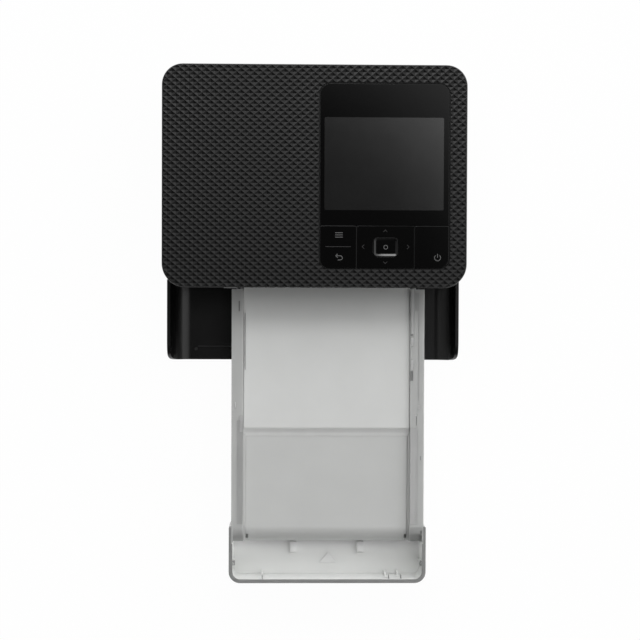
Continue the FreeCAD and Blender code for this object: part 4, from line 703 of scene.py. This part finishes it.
def make_relief():
    """The relief, and the cover with a pocket that holds it."""
    top = BODY_HIGH.z
    floor = top - PIT_DEPTH - RELIEF_WEB
    outer = rounded_outline(BODY_LOW.x + RELIEF_INSET, BODY_HIGH.x - RELIEF_INSET,
                            BODY_LOW.y + RELIEF_INSET, BODY_HIGH.y - RELIEF_INSET,
                            FRONT_CORNER - RELIEF_INSET, REAR_CORNER - RELIEF_INSET)
    hole = rounded_outline(PANEL_LOW.x - PANEL_RIM, PANEL_HIGH.x + PANEL_RIM,
                           KEYS_FRONT_Y - PANEL_RIM, PANEL_HIGH.y + PANEL_RIM,
                           PANEL_CORNER + PANEL_RIM, PANEL_CORNER + PANEL_RIM)
    work = bmesh.new()
    for facet in relief_facets(outer, hole, top):
        work.faces.new([work.verts.new(point) for point in facet])
    join_flat_faces(work, PIT_WELD_DISTANCE, PIT_FLAT_ANGLE_DEG)
    close_below(work, floor)
    bmesh.ops.recalc_face_normals(work, faces=work.faces)
    solid("relief", mesh_from("relief", work), RELIEF_FINISH, "root", "case_plastic")

    pocket = bpy.data.objects.new("pocket", mesh_from("pocket", prism(outer, floor, top + POCKET_OVERRUN)))
    bpy.context.scene.collection.objects.link(pocket)
    cover = mesh_from("lid", welded("top_cover"))
    cut = {"operation": "DIFFERENCE", "object": pocket, "solver": "EXACT"}
    cover = with_modifiers(cover, [("BOOLEAN", cut)])
    bpy.data.objects.remove(pocket)
    solid("lid", shade(cover), FINISHES["case_plastic"], "root", "case_plastic", "top_cover")


# Panel, screen and keys

PANEL_BEVEL_MM = 0.15
KEY_BEVEL_MM = 0.18
SCREEN_LEFT_MM = 5.75
SCREEN_RIGHT_MM = 77.0
SCREEN_BACK_MM = 31.45
SCREEN_FRONT_MM = 86.65
SCREEN_CORNER = 0.8 * MM
SCREEN_CORNER_STEPS = 5
SCREEN_SUNK = 0.1 * MM
SCREEN_PROUD = 0.02 * MM
OK_RIM = 0.15 * MM
OK_DISH_SLOPE = 1.2 * MM
OK_DISH_DEPTH = 0.43 * MM
OK_CORNER = 2.2 * MM
OK_LEAST_CORNER = 0.3 * MM
OK_CORNER_STEPS = 6
OK_SMOOTH_ANGLE_DEG = 16


def on_panel(x_mm, forward_mm):
    """A place on the panel, given right of the middle and forward of the back edge."""
    return x_mm * MM, BODY_HIGH.y - forward_mm * MM


def make_panel():
    for node, width in (("display_window", PANEL_BEVEL_MM), ("menu_back_key", KEY_BEVEL_MM),
                        ("nav_key", KEY_BEVEL_MM), ("power_key", KEY_BEVEL_MM)):
        solid(node + "_face", softened(node, width), FINISHES["gloss_panel"], body_of_node[node],
              "gloss_panel", node)
    x0, y0 = on_panel(SCREEN_LEFT_MM, SCREEN_FRONT_MM)
    x1, y1 = on_panel(SCREEN_RIGHT_MM, SCREEN_BACK_MM)
    outline = rounded_outline(x0, x1, y0, y1, SCREEN_CORNER, SCREEN_CORNER, SCREEN_CORNER_STEPS)
    face = prism(outline, PANEL_HIGH.z - SCREEN_SUNK, PANEL_HIGH.z + SCREEN_PROUD)
    solid("screen", mesh_from("screen", face), SCREEN_FINISH, "root", "display_glass")


def make_ok_key():
    """The OK key is dished: a broad slope runs from its rim down to its flat face."""
    low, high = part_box("ok_key")

    def ring(inset, z):
        corner = max(OK_CORNER - inset, OK_LEAST_CORNER)
        outline = rounded_outline(low.x + inset, high.x - inset, low.y + inset, high.y - inset,
                                  corner, corner, OK_CORNER_STEPS)
        return [work.verts.new((x, y, z)) for x, y in outline]

    work = bmesh.new()
    rings = [ring(0.0, low.z), ring(0.0, high.z - OK_RIM), ring(OK_RIM, high.z), ring(OK_RIM * 2, high.z),
             ring(OK_RIM * 2 + OK_DISH_SLOPE, high.z - OK_DISH_DEPTH)]
    join_rings(work, rings)
    work.faces.new(list(reversed(rings[0])))
    work.faces.new(rings[-1])
    bmesh.ops.recalc_face_normals(work, faces=work.faces)
    face = shade(mesh_from("ok_key_face", work), OK_SMOOTH_ANGLE_DEG)
    solid("ok_key_face", face, FINISHES["gloss_panel"], "ok_key", "gloss_panel", "ok_key")


# Printed marks on the keys. Places are as on_panel takes them, and shapes are round their own middle

MARK_LIFT = 0.02 * MM
MARK_WIDTH_MM = 0.42
FAINT_MARK_WIDTH_MM = 0.35
OK_MARK_WIDTH_MM = 0.4
MENU_PLACE_MM = (14.5, 101.5)
MENU_BAR_REACH_MM = 2.3
MENU_BARS_MM = (-1.3, 0.0, 1.3)
BACK_PLACE_MM = (14.5, 114.8)
BACK_SHAFT_MM = ((-1.9, 0.9), (0.8, 0.9))
BACK_BEND_MM = (0.8, -0.35)
BACK_BEND_RADIUS_MM = 1.25
BACK_BEND_STEPS = 14
BACK_TAIL_MM = (-0.6, -1.6)
BACK_HEAD_MM = ((-0.7, 2.0), (-1.9, 0.9), (-0.7, -0.2))
KEY_LINE_MM = ((6.4, 108.5), (21.7, 108.5))
# Place of each arrow head and the way it points, in quarter turns from the right
ARROWS_MM = ((42.2, 99.0, 1), (42.2, 117.9, 3), (29.0, 108.5, 2), (55.8, 108.5, 0))
ARROW_REACH_MM = 1.2
ARROW_RISE_MM = 0.6
OK_PLACE_MM = (42.5, 108.7)
OK_RING_RADIUS_MM = 1.15
POWER_PLACE_MM = (73.5, 114.9)
POWER_RING_RADIUS_MM = 1.8
POWER_RING_DEG = (130, 410)
POWER_BAR_MM = ((0.0, 2.3), (0.0, 0.1))
# A stroke's outer corner reaches at most this many times its half width
LONGEST_MITRE = 2


def stroke(work, points, width, z0, z1, closed=False):
    """A raised line of even width along points."""
    count = len(points)
    sides = []
    for index, point in enumerate(points):
        before = points[index - 1] if index or closed else point
        after = points[(index + 1) % count] if index < count - 1 or closed else point
        into = Vector((point[0] - before[0], point[1] - before[1]))
        out = Vector((after[0] - point[0], after[1] - point[1]))
        if into.length == 0:
            into = out
        if out.length == 0:
            out = into
        into.normalize()
        out.normalize()
        bend = into + out
        bend.normalize()
        reach = width / 2 / max(1 / LONGEST_MITRE, bend.dot(into))
        normal = Vector((-bend.y, bend.x)) * reach
        sides.append(((point[0] + normal.x, point[1] + normal.y), (point[0] - normal.x, point[1] - normal.y)))
    rings = [[work.verts.new((x, y, z)) for (x, y), z in ((left, z0), (right, z0), (right, z1), (left, z1))]
             for left, right in sides]
    join_rings(work, rings + rings[:1] if closed else rings)
    if not closed:
        work.faces.new(rings[0])
        work.faces.new(list(reversed(rings[-1])))


def mark(name, key, lines, width_mm, finish=MARK_FINISH, drop=0.0):
    """Printed lines on a key; each is a list of points and whether it closes."""
    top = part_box(key)[1].z - drop
    work = bmesh.new()
    for points, closed in lines:
        stroke(work, points, width_mm * MM, top - MARK_LIFT, top + MARK_LIFT, closed)
    bmesh.ops.recalc_face_normals(work, faces=work.faces)
    solid(name, mesh_from(name, work), finish, body_of_node[key], "gloss_panel")


def about(middle, shape_mm):
    """Points given round a middle, as places."""
    return [(middle[0] + x * MM, middle[1] + y * MM) for x, y in shape_mm]


def arrow_head(x_mm, forward_mm, quarter_turns):
    middle = Vector(on_panel(x_mm, forward_mm))
    angle = math.radians(90 * quarter_turns)
    along = Vector((math.cos(angle), math.sin(angle)))
    side = Vector((-along.y, along.x)) * ARROW_REACH_MM * MM
    rise = along * ARROW_RISE_MM * MM
    return [tuple(middle - rise + side), tuple(middle + rise), tuple(middle - rise - side)], False


def make_marks():
    menu = on_panel(*MENU_PLACE_MM)
    bars = [(about(menu, ((-MENU_BAR_REACH_MM, rise), (MENU_BAR_REACH_MM, rise))), False)
            for rise in MENU_BARS_MM]
    back = on_panel(*BACK_PLACE_MM)
    bend_middle = about(back, (BACK_BEND_MM,))[0]
    bend = arc(bend_middle, BACK_BEND_RADIUS_MM * MM, 90, -90, BACK_BEND_STEPS)
    shaft = about(back, BACK_SHAFT_MM) + bend + about(back, (BACK_TAIL_MM,))
    head = about(back, BACK_HEAD_MM)
    mark("menu_mark", "menu_back_key", bars + [(shaft, False), (head, False)], MARK_WIDTH_MM)
    line = [on_panel(*place) for place in KEY_LINE_MM]
    mark("menu_line", "menu_back_key", [(line, False)], FAINT_MARK_WIDTH_MM, FAINT_MARK_FINISH)
    arrows = [arrow_head(*arrow) for arrow in ARROWS_MM]
    mark("arrow_marks", "nav_key", arrows, FAINT_MARK_WIDTH_MM, FAINT_MARK_FINISH)
    ok_ring = circle(on_panel(*OK_PLACE_MM), OK_RING_RADIUS_MM * MM)
    mark("ok_mark", "ok_key", [(ok_ring, True)], OK_MARK_WIDTH_MM, drop=OK_DISH_DEPTH)
    power = on_panel(*POWER_PLACE_MM)
    power_ring = arc(power, POWER_RING_RADIUS_MM * MM, *POWER_RING_DEG)
    mark("power_mark", "power_key", [(power_ring, False), (about(power, POWER_BAR_MM), False)], MARK_WIDTH_MM)


# Outer cases and front cover

CASE_BEVEL_MM = 0.3
COVER_BODY = body_of_node["front_cover"]
COVER_RIB_MM = (-72.6, -50.0, -12.8, -12.2)
COVER_RIB_TOP_MM = 5.16
COVER_RIB_THICK_MM = 0.16
COVER_STUD_MM = (-73.6, -14.2)
COVER_STUD_RADIUS_MM = 1.1
COVER_STUD_TOP_MM = 4.9
COVER_STUD_THICK_MM = 0.9


def make_cases():
    for node in ("base_case", "side_case", "front_cover", "ink_door"):
        solid(node + "_shell", softened(node, CASE_BEVEL_MM, keep_flat=True), FINISHES["case_plastic"],
              body_of_node[node], slot_of_node[node], node)
    # Painted highlight on the top of the cover's rib and on its stud
    inlay("cover_rib_edge", rectangle(*COVER_RIB_MM), COVER_RIB_TOP_MM, COVER_RIB_THICK_MM, RIB_PAINTED_HIGHLIGHT_FINISH,
          COVER_BODY, "case_plastic")
    inlay("cover_rib_stud", circle(COVER_STUD_MM, COVER_STUD_RADIUS_MM), COVER_STUD_TOP_MM,
          COVER_STUD_THICK_MM, RIB_PAINTED_HIGHLIGHT_FINISH, COVER_BODY, "case_plastic")


# Paper cassette. Profiles are back-to-front places and heights, and ranges run from left to right

CASSETTE_BODY = body_of_node["cassette_base"]
CASSETTE_BEVEL_MM = 0.5
LID_BEVEL_MM = 0.3
RUNNER_PROFILE_MM = (
    (-62.4, 28.3), (-121.0, 28.3), (-125.0, 27.7), (-128.5, 26.1), (-131.0, 23.8), (-132.7, 21.0),
    (-132.9, 19.0), (-131.4, 19.0), (-130.8, 21.3), (-129.2, 23.4), (-126.5, 25.2), (-122.0, 26.0),
    (-62.4, 26.0),
)
RUNNERS_MM = ((-43.3, -41.64), (58.44, 59.8))
STEP_PROFILE_MM = (
    (-62.2, 29.75), (-63.0, 29.4), (-64.0, 28.8), (-65.2, 28.35), (-66.8, 28.05), (-66.8, 27.98),
    (-62.2, 27.98),
)
STEP_MM = (-42.9, 59.3)
# Name, left, right, front and back edge, top and thickness, and finish of each small form on the rails and
# the tray. The finishes are painted shade and painted light: dark tones for the shade in slots, gaps, grooves
# and at ribs and stops, pale tones for light through openings and for highlights on edges, bosses and nubs
RAIL_FORMS = (
    ("left_slot", -46.0, -45.2, 10.0, 16.3, 31.52, 0.3, DEEP_PAINTED_SHADE_FINISH),
    ("left_band", -46.8, -43.3, -121.0, -57.0, 31.51, 0.3, SOFT_PAINTED_SHADE_FINISH),
    ("left_pocket", -45.2, -43.4, -64.2, -54.4, 31.53, 0.3, PAINTED_LIGHT_FINISH),
    ("lid_edge_painted_highlight", -42.7, -42.2, -26.0, 9.0, 29.82, 0.2, PAINTED_HIGHLIGHT_FINISH),
    ("lid_edge_painted_shade", -42.1, -41.7, -26.0, 9.0, 29.82, 0.2, SOFT_PAINTED_SHADE_FINISH),
    ("left_glint", -48.3, -47.5, -49.5, -45.8, 31.53, 0.3, PAINTED_HIGHLIGHT_FINISH),
    ("right_strip", 60.4, 61.7, -3.6, 24.0, 31.52, 0.3, PAINTED_HIGHLIGHT_FINISH),
    ("right_window_back", 60.2, 61.7, -11.2, -5.9, 31.52, 0.3, PAINTED_HIGHLIGHT_FINISH),
    ("right_window_front", 60.2, 61.6, -26.0, -19.8, 31.52, 0.3, PAINTED_HIGHLIGHT_FINISH),
    ("right_hook", 59.8, 61.2, -4.8, -3.9, 31.53, 0.3, DEEP_PAINTED_SHADE_FINISH),
    ("right_wedge", 59.8, 61.4, -32.5, -26.6, 31.52, 0.3, DEEP_PAINTED_SHADE_FINISH),
    ("right_pad", 62.6, 65.0, 10.5, 21.5, 31.52, 0.3, SOFT_PAINTED_SHADE_FINISH),
    ("right_groove", 64.7, 65.0, -45.0, 10.0, 31.52, 0.3, SOFT_PAINTED_SHADE_FINISH),
    ("right_boss", 64.2, 65.8, -50.0, -47.4, 31.53, 0.3, PAINTED_LIGHT_FINISH),
    ("right_dot", 63.0, 63.8, -54.2, -53.3, 31.53, 0.3, PAINTED_HIGHLIGHT_FINISH),
    ("right_rib", 63.5, 63.8, -60.0, -54.6, 31.52, 0.3, DEEP_PAINTED_SHADE_FINISH),
    ("right_pale_band", 59.7, 64.2, -121.0, -62.0, 31.51, 0.3, PAINTED_LIGHT_FINISH),
    ("right_tick", 66.0, 66.4, -81.5, -79.0, 31.52, 0.3, DEEP_PAINTED_SHADE_FINISH),
    ("tray_left_stop", -49.6, -48.0, -146.8, -144.2, 29.5, 4.0, DEEP_PAINTED_SHADE_FINISH),
    ("tray_right_stop", 66.3, 67.6, -147.0, -144.4, 29.5, 4.0, DEEP_PAINTED_SHADE_FINISH),
    ("right_stop", 66.2, 67.8, -127.0, -124.8, 31.2, 2.0, DEEP_PAINTED_SHADE_FINISH),
)
TRAY_FLOOR_MM = 11.6
NUBS_MM = (-12.1, 30.1)
NUB_AHEAD_MM = -142.3
NUB_HALF_WIDTH_MM = 2.1
NUB_HALF_LENGTH_MM = 0.6
NUB_HEIGHT_MM = 1.3
NUB_THICK_MM = 1.5
TRAY_ARROW_MM = ((4.8, -147.9), (15.0, -147.9), (9.9, -141.7))
TRAY_ARROW_HEIGHT_MM = 0.7
TRAY_ARROW_THICK_MM = 0.8
TRAY_RIBS_MM = (-31.1, 47.1, 54.7)
TRAY_RIB_HALF_WIDTH_MM = 0.25
TRAY_RIB_FRONT_MM = -155.4
TRAY_RIB_BACK_MM = -153.2
TRAY_RIB_TOP_MM = 29.5
TRAY_RIB_THICK_MM = 4.0


def make_tray_forms():
    """The nubs, the arrow and the ribs of the end tray, with painted highlight on the nubs and the arrow and
    painted shade on the ribs.
    """
    for index, x in enumerate(NUBS_MM):
        outline = rectangle(x - NUB_HALF_WIDTH_MM, x + NUB_HALF_WIDTH_MM,
                            NUB_AHEAD_MM - NUB_HALF_LENGTH_MM, NUB_AHEAD_MM + NUB_HALF_LENGTH_MM)
        inlay("nub_%d" % index, outline, TRAY_FLOOR_MM + NUB_HEIGHT_MM, NUB_THICK_MM, PAINTED_HIGHLIGHT_FINISH,
              CASSETTE_BODY)
    inlay("tray_arrow", TRAY_ARROW_MM, TRAY_FLOOR_MM + TRAY_ARROW_HEIGHT_MM, TRAY_ARROW_THICK_MM,
          PAINTED_HIGHLIGHT_FINISH, CASSETTE_BODY)
    for index, x in enumerate(TRAY_RIBS_MM):
        outline = rectangle(x - TRAY_RIB_HALF_WIDTH_MM, x + TRAY_RIB_HALF_WIDTH_MM,
                            TRAY_RIB_FRONT_MM, TRAY_RIB_BACK_MM)
        inlay("tray_rib_%d" % index, outline, TRAY_RIB_TOP_MM, TRAY_RIB_THICK_MM, DEEP_PAINTED_SHADE_FINISH, CASSETTE_BODY)


def make_cassette():
    for node, width, finish in (("cassette_base", CASSETTE_BEVEL_MM, FINISHES["cassette_plastic"]),
                                ("cassette_inner_cover", LID_BEVEL_MM, INNER_LID_FINISH),
                                ("cassette_outer_cover", LID_BEVEL_MM, OUTER_LID_FINISH)):
        solid(node + "_moulding", softened(node, width), finish, body_of_node[node], slot_of_node[node], node)
    for index, x_range in enumerate(RUNNERS_MM):
        beam("runner_%d" % index, RUNNER_PROFILE_MM, x_range, OUTER_LID_FINISH, CASSETTE_BODY)
    beam("lid_step", STEP_PROFILE_MM, STEP_MM, STEP_FINISH, body_of_node["cassette_inner_cover"])
    for name, left, right, front, back, top, thick, finish in RAIL_FORMS:
        inlay(name, rectangle(left, right, front, back), top, thick, finish, CASSETTE_BODY)
    make_tray_forms()


def finish_nodes():
    """Every node that stays as it is gets its own finish."""
    for node, piece in nodes.items():
        piece.data.materials.clear()
        piece.data.materials.append(FINISHES[slot_of_node[node]])


# Floor and room

FLOOR_HALF = 4.0
FLOOR_CORNER = 0.5
FLOOR_CORNER_STEPS = 4
FLOOR_DEPTH = 0.01
FLOOR_LEVEL = 0.92
FLOOR_GLOW_SHARE = 0.97
# The room is dim straight above the object, and brighter towards the back right
ROOM_LEVEL = 0.72
ROOM_LEAN = 1.3
ROOM_LEAN_TURN_DEG = 55.0
ROOM_LEAN_TILT_DEG = 90.0
ROOM_LEAST = 0.06
DIM_LEVEL = 0.07
DIM_TURN_DEG = 215.0
DIM_TILT_DEG = 4.5
DIM_INNER_DEG = 10.0
DIM_OUTER_DEG = 17.0


def make_floor():
    """A pale floor that shows white, keeps the object's shadow and is white in gloss and clear plastic."""
    finish = Finish("floor")
    camera, glossy, through = [finish.node("ShaderNodeLightPath", output=name) for name in
                               ("Is Camera Ray", "Is Glossy Ray", "Is Transmission Ray")]
    glow = finish.node("ShaderNodeEmission", {}, {"Color": grey(1.0), "Strength": 1.0})
    matt = finish.node("ShaderNodeBsdfDiffuse", {}, {"Color": grey(FLOOR_LEVEL)})
    shown = camera.at_least(glossy).at_least(through)
    both = finish.node("ShaderNodeMixShader", {}, {0: shown * FLOOR_GLOW_SHARE, 1: matt, 2: glow})
    finish.node("ShaderNodeOutputMaterial", {}, {"Surface": both})
    outline = rounded_outline(-FLOOR_HALF, FLOOR_HALF, -FLOOR_HALF, FLOOR_HALF,
                              FLOOR_CORNER, FLOOR_CORNER, FLOOR_CORNER_STEPS)
    floor = bpy.data.objects.new("floor", mesh_from("floor", prism(outline, -FLOOR_DEPTH, 0.0)))
    floor.data.materials.append(finish.owner)
    bpy.context.scene.collection.objects.link(floor)


def set_up_world():
    """A pale room with a dim patch overhead, which the glossy panel reflects."""
    world = Finish("studio", "worlds")
    direction = world.node("ShaderNodeTexCoord", output="Generated")

    def facing(turn_deg, tilt_deg):
        """The cosine of the angle between a direction in the room and the one looked along."""
        tilt, turn = math.radians(tilt_deg), math.radians(turn_deg)
        toward = (math.sin(tilt) * math.cos(turn), math.sin(tilt) * math.sin(turn), math.cos(tilt))
        return world.node("ShaderNodeVectorMath", {"operation": "DOT_PRODUCT"}, {0: direction, 1: toward},
                          output="Value")

    patch = world.node("ShaderNodeMapRange", {"interpolation_type": "SMOOTHSTEP"}, {
        "Value": facing(DIM_TURN_DEG, DIM_TILT_DEG), "To Min": DIM_LEVEL, "To Max": 1.0,
        "From Min": math.cos(math.radians(DIM_INNER_DEG)), "From Max": math.cos(math.radians(DIM_OUTER_DEG))})
    lean = facing(ROOM_LEAN_TURN_DEG, ROOM_LEAN_TILT_DEG) * ROOM_LEAN + ROOM_LEVEL
    light = patch * lean.at_least(ROOM_LEAST)
    camera = world.node("ShaderNodeLightPath", output="Is Camera Ray")
    strength = camera + (1.0 - camera) * light
    back = world.node("ShaderNodeBackground", {}, {"Color": grey(1.0), "Strength": strength})
    world.node("ShaderNodeOutputWorld", {}, {"Surface": back})
    bpy.context.scene.world = world.owner


set_up_camera()
set_up_world()
add_softbox()
make_floor()
finish_nodes()
make_relief()
make_panel()
make_ok_key()
make_marks()
make_cases()
make_cassette()

bpy.context.scene.view_settings.view_transform = "Standard"
